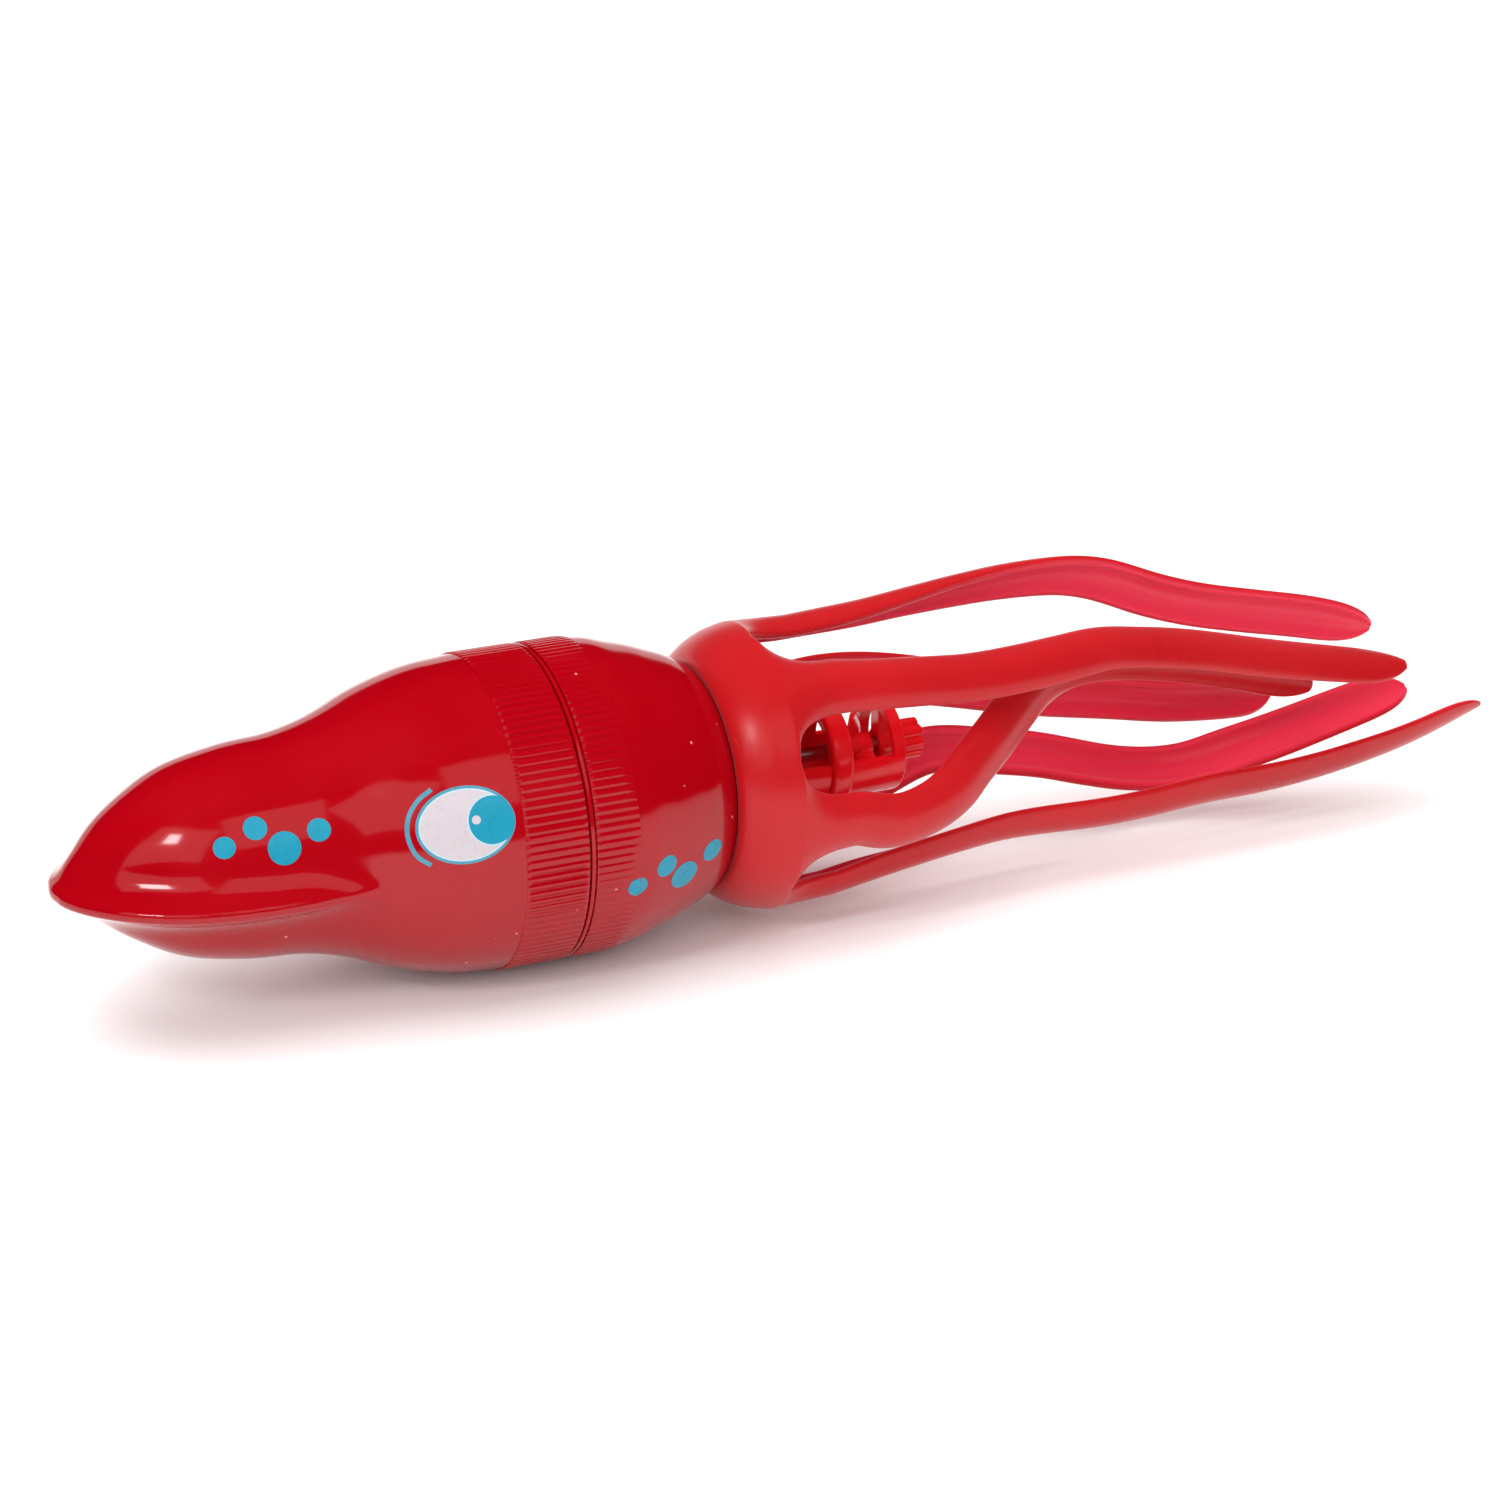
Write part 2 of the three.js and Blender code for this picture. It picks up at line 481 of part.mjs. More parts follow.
// ---- Propeller and the scalloped knob that holds it on its shaft ----
const PROP_X = HOOP_X + HOOP_LENGTH + 0.8;
{
  let shape = rod(PROP_X, PROP_X + HUB_LENGTH, HUB_R, 0, 0, 24);
  for (let i = 0; i < BLADES; i++) {
    const sections = [];
    for (let k = 0; k <= 5; k++) {
      const r = HUB_R - 0.5 + ((BLADE_R - HUB_R + 0.5) * k) / 5;
      const chord = 5.6 + 1.6 * Math.sin((Math.PI * k) / 5);
      const pitch = radians(58 - 5 * k);
      const out = across(90 + (360 * i) / BLADES).multiplyScalar(r);
      const side = across((360 * i) / BLADES + 180);
      const along = new THREE.Vector3(Math.sin(pitch), 0, 0).addScaledVector(side, Math.cos(pitch));
      const skin = new THREE.Vector3(Math.cos(pitch), 0, 0).addScaledVector(side, -Math.sin(pitch));
      const at = (u, v) => new THREE.Vector3(PROP_X + HUB_LENGTH / 2, 0, 0).add(out)
        .addScaledVector(along, (u * chord) / 2).addScaledVector(skin, (v * BLADE_THICK) / 2);
      const under = [at(-1, -0.3), at(-0.5, -1), at(0.5, -1), at(1, -0.3)];
      sections.push([...under, at(1, 0.3), at(0.5, 1), at(-0.5, 1), at(-1, 0.3)]);
    }
    shape = shape.add(loft(sections));
  }
  place('propeller', shape.subtract(rod(PROP_X - 5, PROP_X + HUB_LENGTH + 5, DRIVE_SHAFT_R + GAP)), GLOSS_RED);
}
{
  const scallop = new THREE.Shape();
  const points = [];
  for (let i = 0; i < KNOB_LOBES * 6; i++) {
    const angle = (2 * Math.PI * i) / (KNOB_LOBES * 6);
    const r = KNOB_R - 0.35 + 0.35 * Math.cos(KNOB_LOBES * angle);
    points.push(new THREE.Vector2(r * Math.cos(angle), r * Math.sin(angle)));
  }
  scallop.setFromPoints(points);
  const body = plateAlongX(scallop, KNOB_X, KNOB_X + KNOB_LENGTH);
  const shape = body.subtract(rod(KNOB_X - 1, KNOB_X + KNOB_LENGTH - 1.5, DRIVE_SHAFT_R + GAP));
  place('propeller_knob', shape, GLOSS_RED);
}

// ---- Rubber collar: stretched over the boss; the arms' roots leave six windows between them ----
// ---- Six arms: channels, convex outside, each along its own wavy line from its angle on the collar ----
// Each point is [distance behind the root, y, height over the axis, direction of the convex side in
// degrees, width, depth]:
// the line runs along the crown of the convex side, and width and depth are those of the channel.
const ARMS = [
  { // upper near
    angle: 54,
    line: [
      [10, -16.6, 21.9, 54, 12, 4.6], [20, -16.6, 20.8, 52, 11.4, 4.4], [30, -16.8, 20, 52, 11, 4.2],
      [40, -16.4, 20, 53, 10.8, 4], [50, -15.2, 20.2, 55, 10.6, 3.8], [61, -13.2, 20.2, 58, 10.2, 3.6],
      [71, -12, 18.5, 60, 10, 3.4], [84, -11, 15.6, 60, 9.8, 3.2], [100, -9.9, 10.9, 58, 9.4, 3],
      [117, -8.8, 6.3, 58, 8.8, 2.6], [136, -8.6, 1.8, 58, 7.8, 2],
    ],
  },
  { // top
    angle: 114,
    line: [
      [9, 11.4, 26.4, 116, 12, 4.8], [17, 11.8, 26.6, 122, 11.2, 4.6], [27, 12.4, 27.2, 130, 10.4, 4.4],
      [38, 12.8, 27.7, 142, 9.8, 4.2], [50, 13, 27.8, 152, 9.6, 4], [63, 12.2, 27, 160, 9.6, 3.6],
      [71, 11.4, 25, 164, 9.6, 3.4], [82, 10, 20.4, 166, 9.6, 3.2], [92, 8.8, 17, 168, 9.4, 3],
      [105, 7.6, 13.8, 170, 9.2, 2.8], [118, 6.6, 10.7, 172, 8.8, 2.4], [135, 5.2, 5.6, 174, 7.6, 1.8],
    ],
  },
  { // upper far
    angle: 173,
    line: [
      [9, 28.6, 5.4, 173, 12.4, 4.8], [18, 28.6, 5.6, 173, 11.8, 4.6], [29, 27.8, 4.2, 173, 11.2, 4.2],
      [45, 26, 0.6, 172, 10.4, 3.8], [57, 25, -2.4, 172, 10, 3.6], [66, 24, -4.4, 172, 9.8, 3.4],
      [81, 22.8, -7.2, 174, 9.4, 3.2], [94, 21.8, -9.8, 176, 9, 3], [106, 20.8, -11.2, 178, 8.6, 2.6],
      [120, 19.6, -12.2, 180, 7.8, 2],
    ],
  },
  { // lower far
    angle: 233,
    line: [
      [10, 18, -21.6, 233, 12.2, 4.8], [21, 19.6, -19, 231, 11.4, 4.6], [37, 21.4, -14.6, 229, 11, 4.2],
      [51, 18.2, -16, 229, 11, 4], [61, 16.6, -17.9, 231, 11, 3.8], [69, 15, -20.2, 233, 11, 3.8],
      [78, 13.9, -22.7, 235, 10.8, 3.6], [87, 12.5, -23.9, 237, 10.6, 3.4], [95, 10.8, -23.4, 237, 10.4, 3.2],
      [104, 9.3, -21.1, 235, 10.2, 3.2], [114, 8.1, -18.6, 233, 9.8, 3], [132, 6.7, -13.8, 231, 9, 2.6],
      [146, 6.6, -10.8, 231, 7.6, 2],
    ],
  },
  { // lower near
    angle: 293,
    line: [
      [9, -11.2, -24.8, 294, 12, 4.8], [18, -12, -23, 298, 11.2, 4.6], [29, -11.8, -21.6, 304, 10.8, 4.2],
      [42, -10.6, -21, 310, 10.6, 4], [63, -10.4, -21.9, 315, 10.6, 3.8], [75, -10.4, -21.6, 317, 10.4, 3.6],
      [88, -9.8, -21, 318, 10.2, 3.4], [102, -9.2, -21.1, 318, 10, 3.2], [113, -8.6, -20.7, 318, 9.6, 3],
      [126, -7.8, -19.4, 318, 9, 2.6], [141, -6.1, -17.3, 318, 7.8, 2.2], [159, -3.3, -13.3, 318, 5.6, 1.4],
    ],
  },
  { // near
    angle: 349.5,
    line: [
      [9, -27.4, -7.4, 350, 12.8, 4.8], [17.5, -26.4, -6, 352, 12.6, 4.6], [23.5, -25, -3.2, 355, 12.4, 4.4],
      [29, -22.3, 0.4, 358, 12, 4.2], [36, -18.2, 4.2, 2, 11.6, 4], [43, -13, 7.6, 8, 11, 3.8],
      [50.5, -7.6, 10.2, 12, 10.4, 3.6], [58, -3.3, 11.2, 16, 10, 3.4], [68, -0.3, 10.7, 16, 9.8, 3.2],
      [80.5, 2, 8, 14, 9.6, 3], [93, 3.1, 4.4, 10, 9.2, 2.8], [108, 4.2, -0.7, 6, 8.6, 2.4],
      [122, 5.4, -6.6, 4, 7.4, 1.8],
    ],
  },
];
const ARM_STEPS = 26;
const TIP_WALL = 1.7;
const TIP_ROUND = 0.06;         // share of the length over which the tip rounds off

// Crescent section of a channel whose crown lies at the given point.
function channelSection(crown, forward, outward, width, depth, wall) {
  const n = outward.clone().addScaledVector(forward, -outward.dot(forward)).normalize();
  const b = forward.clone().cross(n);
  const bend = (width * width / 4 + depth * depth) / (2 * depth);
  const half = Math.atan2(width / 2, bend - depth);
  const at = (u, r) =>
    crown.clone().addScaledVector(n, r * Math.cos(u) - bend).addScaledVector(b, r * Math.sin(u));
  const spread = [-1, -0.6, -0.2, 0.2, 0.6, 1];
  const convex = spread.map((s) => at(s * half, bend));
  const hollow = spread.map((s) => at(-s * half * 0.97, bend - wall));
  return [...convex, ...hollow];
}

const FORWARD = new THREE.Vector3(1, 0, 0);

// Each arm's root on the collar narrows from a full sixth of the ring, which rounds the windows
// between the roots.
function armRoot(angle) {
  const sixth = 2 * SKIRT_R * Math.sin(Math.PI / ARM_COUNT);
  const sections = [];
  const steps = 8;
  for (let k = 0; k <= steps; k++) {
    const s = k / steps;
    const x = WINDOW_FRONT + (ROOT_X - WINDOW_FRONT) * s;
    const run = Math.min(1, (x - WINDOW_FRONT) / WINDOW_NOSE);
    const open = Math.sqrt(1 - (1 - run) ** 2);
    const width = sixth + (ROOT_WIDTH - sixth) * open;
    const crown = SKIRT_R + (ROOT_R - SKIRT_R) * s;
    const flat = crown - Math.sqrt(crown ** 2 - (width / 2) ** 2);
    const depth = flat + (ROOT_DEPTH - flat) * open;
    const center = across(angle).multiplyScalar(crown).setX(k === 0 ? x - 1 : x);
    sections.push(channelSection(center, FORWARD, across(angle), width, depth, RUBBER));
  }
  return loft(sections);
}

{
  const full = COLLAR_X + SKIRT_FULL;
  const profile = [
    [COLLAR_X, BOSS_R + GAP], [COLLAR_X, 22.4], [COLLAR_X + 1, 24], [COLLAR_X + 2.4, 25.4],
    [COLLAR_X + 7, SKIRT_R - 1], [full, SKIRT_R], [full, SKIRT_R - RUBBER],
    [BOSS_END + GAP, SKIRT_R - RUBBER - 0.8], [BOSS_END + GAP, BOSS_R + LIP_HEIGHT + GAP],
    [BOSS_END - LIP_LENGTH - GAP, BOSS_R + LIP_HEIGHT + GAP], [BOSS_END - LIP_LENGTH - GAP, BOSS_R + GAP],
    [COLLAR_X, BOSS_R + GAP],
  ];
  place('skirt_collar', union(turned(profile), ...ARMS.map(({ angle }) => armRoot(angle))), RUBBER_RED);
}

ARMS.forEach(({ angle, line }, i) => {
  const root = across(angle).multiplyScalar(ROOT_R).setX(ROOT_X + ROOT_GAP);
  const points = [root, ...line.map(([x, y, z]) => new THREE.Vector3(ROOT_X + x, y, z))];
  const curve = new THREE.CatmullRomCurve3(points, false, 'centripetal');
  const column = (k, first) => [first, ...line.map((row) => row[k])];
  const facings = column(3, angle);
  for (let k = 1; k < facings.length; k++) {
    facings[k] += 360 * Math.round((facings[k - 1] - facings[k]) / 360);
  }
  const widths = column(4, ROOT_WIDTH);
  const depths = column(5, ROOT_DEPTH);
  const between = (values, t) => {
    const at = t * (values.length - 1);
    const k = Math.min(Math.floor(at), values.length - 2);
    return values[k] + (values[k + 1] - values[k]) * (at - k);
  };
  const sections = [];
  for (let s = 0; s <= ARM_STEPS; s++) {
    const t = s / ARM_STEPS;
    const forward = curve.getTangent(t).lerp(FORWARD, Math.max(0, 1 - 8 * t)).normalize();
    const fromTip = Math.min(1, (1 - t) / TIP_ROUND);
    const tip = Math.max(0.3, Math.sqrt(1 - (1 - fromTip) ** 2));
    const wall = RUBBER + (TIP_WALL - RUBBER) * t;
    const outward = across(between(facings, t));
    const crown = curve.getPoint(t);
    const [width, depth] = [between(widths, t) * tip, between(depths, t) * tip];
    sections.push(channelSection(crown, forward, outward, width, depth, wall));
  }
  place(`arm_${i + 1}`, loft(sections), RUBBER_RED);
});

// The middle of the rear ring's lowest flat is the origin of the finished toy.
const RING_REST = RING_R * Math.cos(Math.PI / SIDES);
model.position.set(-(FLANGE_X + REAR_RING / 2), 0, RING_REST);

export default model;
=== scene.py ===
import json
import math

import bpy
from mathutils import Matrix, Vector

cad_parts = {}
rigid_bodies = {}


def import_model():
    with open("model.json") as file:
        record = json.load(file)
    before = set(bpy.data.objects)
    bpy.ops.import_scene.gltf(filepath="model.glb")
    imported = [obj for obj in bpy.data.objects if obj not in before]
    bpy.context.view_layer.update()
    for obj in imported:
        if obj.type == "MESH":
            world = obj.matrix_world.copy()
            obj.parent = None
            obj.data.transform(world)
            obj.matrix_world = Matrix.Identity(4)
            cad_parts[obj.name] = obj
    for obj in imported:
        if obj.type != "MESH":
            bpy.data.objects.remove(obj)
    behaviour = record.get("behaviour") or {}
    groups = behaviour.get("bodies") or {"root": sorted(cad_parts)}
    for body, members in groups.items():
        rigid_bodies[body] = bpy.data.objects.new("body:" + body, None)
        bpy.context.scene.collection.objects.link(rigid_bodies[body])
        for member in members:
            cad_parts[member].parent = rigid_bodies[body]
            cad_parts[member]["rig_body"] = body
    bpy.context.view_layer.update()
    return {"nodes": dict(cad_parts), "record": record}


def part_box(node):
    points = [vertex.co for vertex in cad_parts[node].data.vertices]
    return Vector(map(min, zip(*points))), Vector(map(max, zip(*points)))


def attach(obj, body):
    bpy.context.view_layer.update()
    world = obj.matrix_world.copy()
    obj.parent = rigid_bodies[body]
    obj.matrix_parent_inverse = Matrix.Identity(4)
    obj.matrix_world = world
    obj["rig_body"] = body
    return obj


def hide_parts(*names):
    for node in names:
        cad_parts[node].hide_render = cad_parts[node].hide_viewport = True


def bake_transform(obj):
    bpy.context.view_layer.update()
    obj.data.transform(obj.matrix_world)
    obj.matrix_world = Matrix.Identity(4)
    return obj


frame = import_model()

scene = bpy.context.scene
scene.view_settings.view_transform = "Standard"
scene.view_settings.look = "None"

# ---- Where the toy lies ----
# The toy's axis runs along X, nose towards -X, and it lies on its rings. Places along it are given
# in millimetres from the screw joint, which is where the head shell ends.
MM = 0.001
JOINT_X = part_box("head_shell")[1].x
LOW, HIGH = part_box("rear_shell")
AXIS_Z = (LOW.z + HIGH.z) / 2


def spot(x, y=0.0, z=0.0):
    """A point given in millimetres from the middle of the screw joint, in the frame's metres."""
    return Vector((JOINT_X + x * MM, y * MM, AXIS_Z + z * MM))


def across(degrees):
    """Unit vector across the axis: 0 points to the near side and 90 points up."""
    turn = math.radians(degrees)
    return Vector((0, -math.cos(turn), math.sin(turn)))


# ---- Camera, floor and light ----
# The toy is seen from its near side, a little from the front and from above, on a pale sweep. An
# overhead bank and a fill light it, and two soft boxes, a small lamp and a low strip show in it.
AZIMUTH, ELEVATION = math.radians(-24), math.radians(22)
camera = bpy.data.objects.new("camera", bpy.data.cameras.new("camera"))
scene.collection.objects.link(camera)
camera.data.lens = 96
camera.data.sensor_width = 36
camera.data.clip_start = 0.05
camera.data.clip_end = 20
camera.location = (-0.2574, -0.6703, 0.3304)
look = Vector(
    (
        -math.sin(AZIMUTH) * math.cos(ELEVATION),
        math.cos(AZIMUTH) * math.cos(ELEVATION),
        -math.sin(ELEVATION),
    )
)
camera.rotation_mode = "QUATERNION"
camera.rotation_quaternion = look.to_track_quat("-Z", "Y")
scene.camera = camera

world = bpy.data.worlds.new("studio")
scene.world = world
world.use_nodes = True
sky = world.node_tree.nodes["Background"]
sky.inputs["Color"].default_value = (1, 1, 1, 1)
sky.inputs["Strength"].default_value = 0.62
world.cycles_visibility.glossy = False

bpy.ops.mesh.primitive_plane_add(size=6, location=(0, 0, 0))
floor = bpy.context.object
floor.name = "floor"
paper = bpy.data.materials.new("white_paper")
paper.use_nodes = True
paper_finish = paper.node_tree.nodes["Principled BSDF"]
paper_finish.inputs["Base Color"].default_value = (0.93, 0.93, 0.93, 1)
paper_finish.inputs["Roughness"].default_value = 0.6
paper_finish.inputs["Specular IOR Level"].default_value = 0.2
floor.data.materials.append(paper)


def soft_box(name, azimuth, elevation, far, width, height, glow, mirrored=True):
    """A studio light that faces the toy: its direction and distance, its size and its radiance."""
    light = bpy.data.lights.new(name, "AREA")
    light.shape = "RECTANGLE"
    light.size = width
    light.size_y = height
    light.energy = glow * math.pi * width * height
    holder = bpy.data.objects.new(name, light)
    scene.collection.objects.link(holder)
    a, e = math.radians(azimuth), math.radians(elevation)
    way = Vector((math.sin(a) * math.cos(e), -math.cos(a) * math.cos(e), math.sin(e)))
    holder.location = way * far + Vector((0, 0, AXIS_Z))
    holder.rotation_mode = "QUATERNION"
    holder.rotation_quaternion = (-way).to_track_quat("-Z", "Y")
    holder.visible_glossy = mirrored


soft_box("overhead", 180, 80, 1.1, 1.5, 1.5, 2.1, mirrored=False)
soft_box("fill", -10, 25, 1.2, 1.6, 0.8, 1.0, mirrored=False)
soft_box("front_box", -46, 34, 1.0, 0.75, 0.62, 0.95)
soft_box("front_lamp", -55, 39, 0.97, 0.15, 0.15, 22.0)
soft_box("near_box", 2, 42, 1.0, 0.42, 0.62, 0.9)
soft_box("backdrop", 168, 7, 1.2, 2.4, 0.30, 0.8)

# ---- Head shell ----
# Dome, brim and knurled ring, moulded as one piece in glossy red ABS that is let down to a little
# dust and fine scratches. The head screws on to the rear shell by two thread ridges in its bore.
DOME = [
    (-92.2, 0), (-91.8, 2.6), (-89.4, 6.0), (-86, 9.6), (-80, 13.9), (-72, 18), (-60, 20.5),
    (-50, 21.3), (-42, 23.2), (-32, 27.2), (-22, 29.8), (-12.5, 30.7),
]
RING_R = 31.0
HEAD_RING = 12.5
WALL = 2.4
RIBS = 120
RIB_DEPTH = 0.27
HEAD_BORE = 28.2
NOSE_INSIDE = -90.5
BORE_START = -10.5
GROOVE = (-1.55, 27, 30.05)
RING_CORE = (-6, 30.6)
THREAD_LEAD = 8.0
THREAD_HALF = 0.7
HEAD_THREAD = (29.0, 26.4, -9.6, -3)
BRIM_EDGE = [
    (-95.5, 0), (-94.5, 5), (-92, 9.5), (-88, 14), (-83, 18), (-76, 21.75), (-68, 24),
    (-60, 25), (-52, 25), (-44.5, 24.5), (-38, 25),
]
BRIM_THICK = 1.7
BRIM_MIDDLE = -2.4
BRIM_CENTRE = -60.0
FILLET = 6.5
FLARE = 2.4
MOULD_GRAIN = 0.5 * MM
WELD = 2e-6
SPECK_EDGE = 0.10


def flowing(points, steps):
    """A smooth line through points of any length, with so many steps between neighbours."""
    points = [Vector(p) for p in points]
    ends = [points[0] * 2 - points[1]] + points + [points[-1] * 2 - points[-2]]
    line = []
    for a, b, c, d in zip(ends, ends[1:], ends[2:], ends[3:]):
        ab = max((b - a).length, 1e-6) ** 0.5
        bc = max((c - b).length, 1e-6) ** 0.5
        cd = max((d - c).length, 1e-6) ** 0.5
        lead = ((b - a) / ab - (c - a) / (ab + bc) + (c - b) / bc) * bc
        tail = ((c - b) / bc - (d - b) / (bc + cd) + (d - c) / cd) * bc
        for i in range(steps):
            t = i / steps
            line.append(
                b * (2 * t**3 - 3 * t**2 + 1)
                + lead * (t**3 - 2 * t**2 + t)
                + c * (3 * t**2 - 2 * t**3)
                + tail * (t**3 - t**2)
            )
    return line + [points[-1]]


def choose(obj, *others):
    """Selects these pieces and nothing else, and makes the first one active."""
    bpy.ops.object.select_all(action="DESELECT")
    for piece in (obj, *others):
        piece.select_set(True)
    bpy.context.view_layer.objects.active = obj


def editing(obj):
    """Opens one piece for mesh work, with nothing else selected."""
    choose(obj)
    bpy.ops.object.mode_set(mode="EDIT")
    bpy.ops.mesh.select_all(action="SELECT")


def done():
    """Closes mesh work and returns the piece."""
    bpy.ops.object.mode_set(mode="OBJECT")
    return bpy.context.view_layer.objects.active


def settled(obj):
    """Puts a piece's place, turn and scale into its mesh."""
    choose(obj)
    bpy.ops.object.transform_apply(location=True, rotation=True, scale=True)
    return obj


def pulled_line(name, points):
    """One vertex pulled out, step by step, along a row of points."""
    bpy.ops.object.select_all(action="DESELECT")
    bpy.ops.mesh.primitive_circle_add(vertices=3, radius=MM, location=points[0])
    obj = bpy.context.object
    obj.name = name
    obj.data.name = name
    editing(obj)
    bpy.ops.mesh.merge(type="CENTER")
    for a, b in zip(points, points[1:]):
        bpy.ops.mesh.extrude_region_move(TRANSFORM_OT_translate={"value": Vector(b) - Vector(a)})
    return settled(done())


def turned(name, profile, steps=160):
    """A line of (x, radius) points spun round the toy's axis."""
    obj = pulled_line(name, [spot(x, 0, r) for x, r in profile])
    editing(obj)
    bpy.ops.mesh.spin(steps=steps, angle=2 * math.pi, center=spot(0), axis=(1, 0, 0))
    bpy.ops.mesh.select_all(action="SELECT")
    bpy.ops.mesh.remove_doubles(threshold=WELD)
    bpy.ops.mesh.normals_make_consistent(inside=False)
    return done()


def finished(obj, kind, **settings):
    """Adds one modifier and applies it."""
    choose(obj)
    modifier = obj.modifiers.new(kind.lower(), kind)
    for key, value in settings.items():
        setattr(modifier, key, value)
    bpy.ops.object.modifier_apply(modifier=modifier.name)
    return obj


def combined(obj, other, operation):
    """Joins, cuts or trims one solid with another, which is used up."""
    finished(obj, "BOOLEAN", operation=operation, object=other, solver="MANIFOLD")
    bpy.data.objects.remove(other)
    return obj


def knurled(name, ends, fade=0.0):
    """A disc with ribs round its rim, whose grooves run out over the last millimetres."""
    start, end = ends
    cells = RIBS * 6
    bpy.ops.object.select_all(action="DESELECT")
    bpy.ops.mesh.primitive_circle_add(
        vertices=cells, radius=RING_R * MM, fill_type="NGON", location=spot(start),
        rotation=(0, math.pi / 2, 0),
    )
    obj = settled(bpy.context.object)
    obj.name = name
    obj.data.name = name
    stations = [start, start + 0.35, start + 0.8, end - 0.8 - fade, end - 0.35 - fade * 0.5, end]
    editing(obj)
    for a, b in zip(stations, stations[1:]):
        bpy.ops.mesh.extrude_region_move(TRANSFORM_OT_translate={"value": ((b - a) * MM, 0, 0)})
    bpy.ops.mesh.select_all(action="SELECT")
    bpy.ops.mesh.normals_make_consistent(inside=False)
    done()
    depths = [0.45, 1, 1, 1, 0.5 if fade else 1, 0 if fade else 0.45]
    drops = [0.18, 0, 0, 0, 0, 0.12]
    middle = spot(0)
    for v in obj.data.vertices:
        arm = Vector((0, v.co.y - middle.y, v.co.z - middle.z))
        x = (v.co.x - JOINT_X) / MM
        at = min(range(len(stations)), key=lambda k: abs(stations[k] - x))
        share = (math.atan2(arm.z, arm.y) / (2 * math.pi) * RIBS) % 1
        groove = max(0.0, math.cos(2 * math.pi * share)) ** 0.6
        radius = RING_R - drops[at] - RIB_DEPTH * depths[at] * groove
        v.co = Vector((v.co.x, middle.y, middle.z)) + arm.normalized() * radius * MM
    return obj


def thread_ridge(name, root, crest, start, end, phase):
    """One thread ridge: a tapered section carried round the axis and along it by the lead."""
    wide, narrow = THREAD_HALF, THREAD_HALF * 0.7
    section = [(-wide, root), (wide, root), (narrow, crest), (-narrow, crest), (-wide, root)]
    obj = pulled_line(name, [spot(start + x, 0, r) for x, r in section])
    editing(obj)
    bpy.ops.mesh.remove_doubles(threshold=WELD)
    bpy.ops.mesh.edge_face_add()
    turn = math.radians(phase + 360 * start / THREAD_LEAD)
    bpy.ops.transform.rotate(value=-turn, orient_axis="X", center_override=spot(0))
    bpy.ops.mesh.select_all(action="SELECT")
    done()
    turns = (end - start) / THREAD_LEAD
    steps = max(8, int(48 * turns))
    editing(obj)
    for k in range(steps):
        bpy.ops.mesh.extrude_region_move(
            TRANSFORM_OT_translate={"value": ((end - start) / steps * MM, 0, 0)}
        )
        bpy.ops.transform.rotate(
            value=2 * math.pi * turns / steps, orient_axis="X", center_override=spot(0)
        )
    bpy.ops.mesh.select_all(action="SELECT")
    bpy.ops.mesh.normals_make_consistent(inside=False)
    return done()


def join(obj, *others):
    """Makes several meshes one piece."""
    choose(obj, *others)
    bpy.ops.object.join()
    return obj


def smooth(obj, degrees=35):
    """Shades a piece smooth but for its edges."""
    choose(obj)
    bpy.ops.object.shade_smooth_by_angle(angle=math.radians(degrees))
    return obj


def painted(obj, finish):
    """Gives a piece one finish all over."""
    obj.data.materials.clear()
    obj.data.materials.append(finish)
    return obj


def link(tree, source, target):
    """Joins two sockets of a finish."""
    tree.links.new(source, target)


def grained(name, colour, deep, scale, bump, rough, **settings):
    """A moulded plastic or rubber: two tones of one colour, a varied gloss and a fine skin."""
    made = bpy.data.materials.new(name)
    made.use_nodes = True
    tree = made.node_tree
    finish = tree.nodes["Principled BSDF"]
    for key, value in settings.items():
        finish.inputs[key.replace("_", " ")].default_value = value
    place = tree.nodes.new("ShaderNodeTexCoord")
    cloud = tree.nodes.new("ShaderNodeTexNoise")
    cloud.inputs["Scale"].default_value = scale
    cloud.inputs["Detail"].default_value = 5
    link(tree, place.outputs["Object"], cloud.inputs["Vector"])
    tone = tree.nodes.new("ShaderNodeValToRGB")
    tone.color_ramp.elements[0].position = 0.3
    tone.color_ramp.elements[0].color = (*deep, 1)
    tone.color_ramp.elements[1].position = 0.7
    tone.color_ramp.elements[1].color = (*colour, 1)
    link(tree, cloud.outputs["Fac"], tone.inputs["Fac"])
    link(tree, tone.outputs["Color"], finish.inputs["Base Color"])
    gloss = tree.nodes.new("ShaderNodeMapRange")
    gloss.inputs["From Min"].default_value = 0.3
    gloss.inputs["From Max"].default_value = 0.7
    gloss.inputs["To Min"].default_value = rough[0]
    gloss.inputs["To Max"].default_value = rough[1]
    link(tree, cloud.outputs["Fac"], gloss.inputs["Value"])
    link(tree, gloss.outputs["Result"], finish.inputs["Roughness"])
    skin = tree.nodes.new("ShaderNodeTexNoise")
    skin.inputs["Scale"].default_value = scale * 14
    skin.inputs["Detail"].default_value = 3
    link(tree, place.outputs["Object"], skin.inputs["Vector"])
    relief = tree.nodes.new("ShaderNodeBump")
    relief.inputs["Strength"].default_value = bump
    relief.inputs["Distance"].default_value = 0.0002
    link(tree, skin.outputs["Fac"], relief.inputs["Height"])
    link(tree, relief.outputs["Normal"], finish.inputs["Normal"])
    return made


glossy_red = grained(
    "glossy_red_plastic", (0.335, 0.0001, 0.0044), (0.310, 0.0001, 0.0036), 40, 0.04, (0.08, 0.14),
    Specular_IOR_Level=0.34, Coat_Weight=0.12, Coat_Roughness=0.05,
)


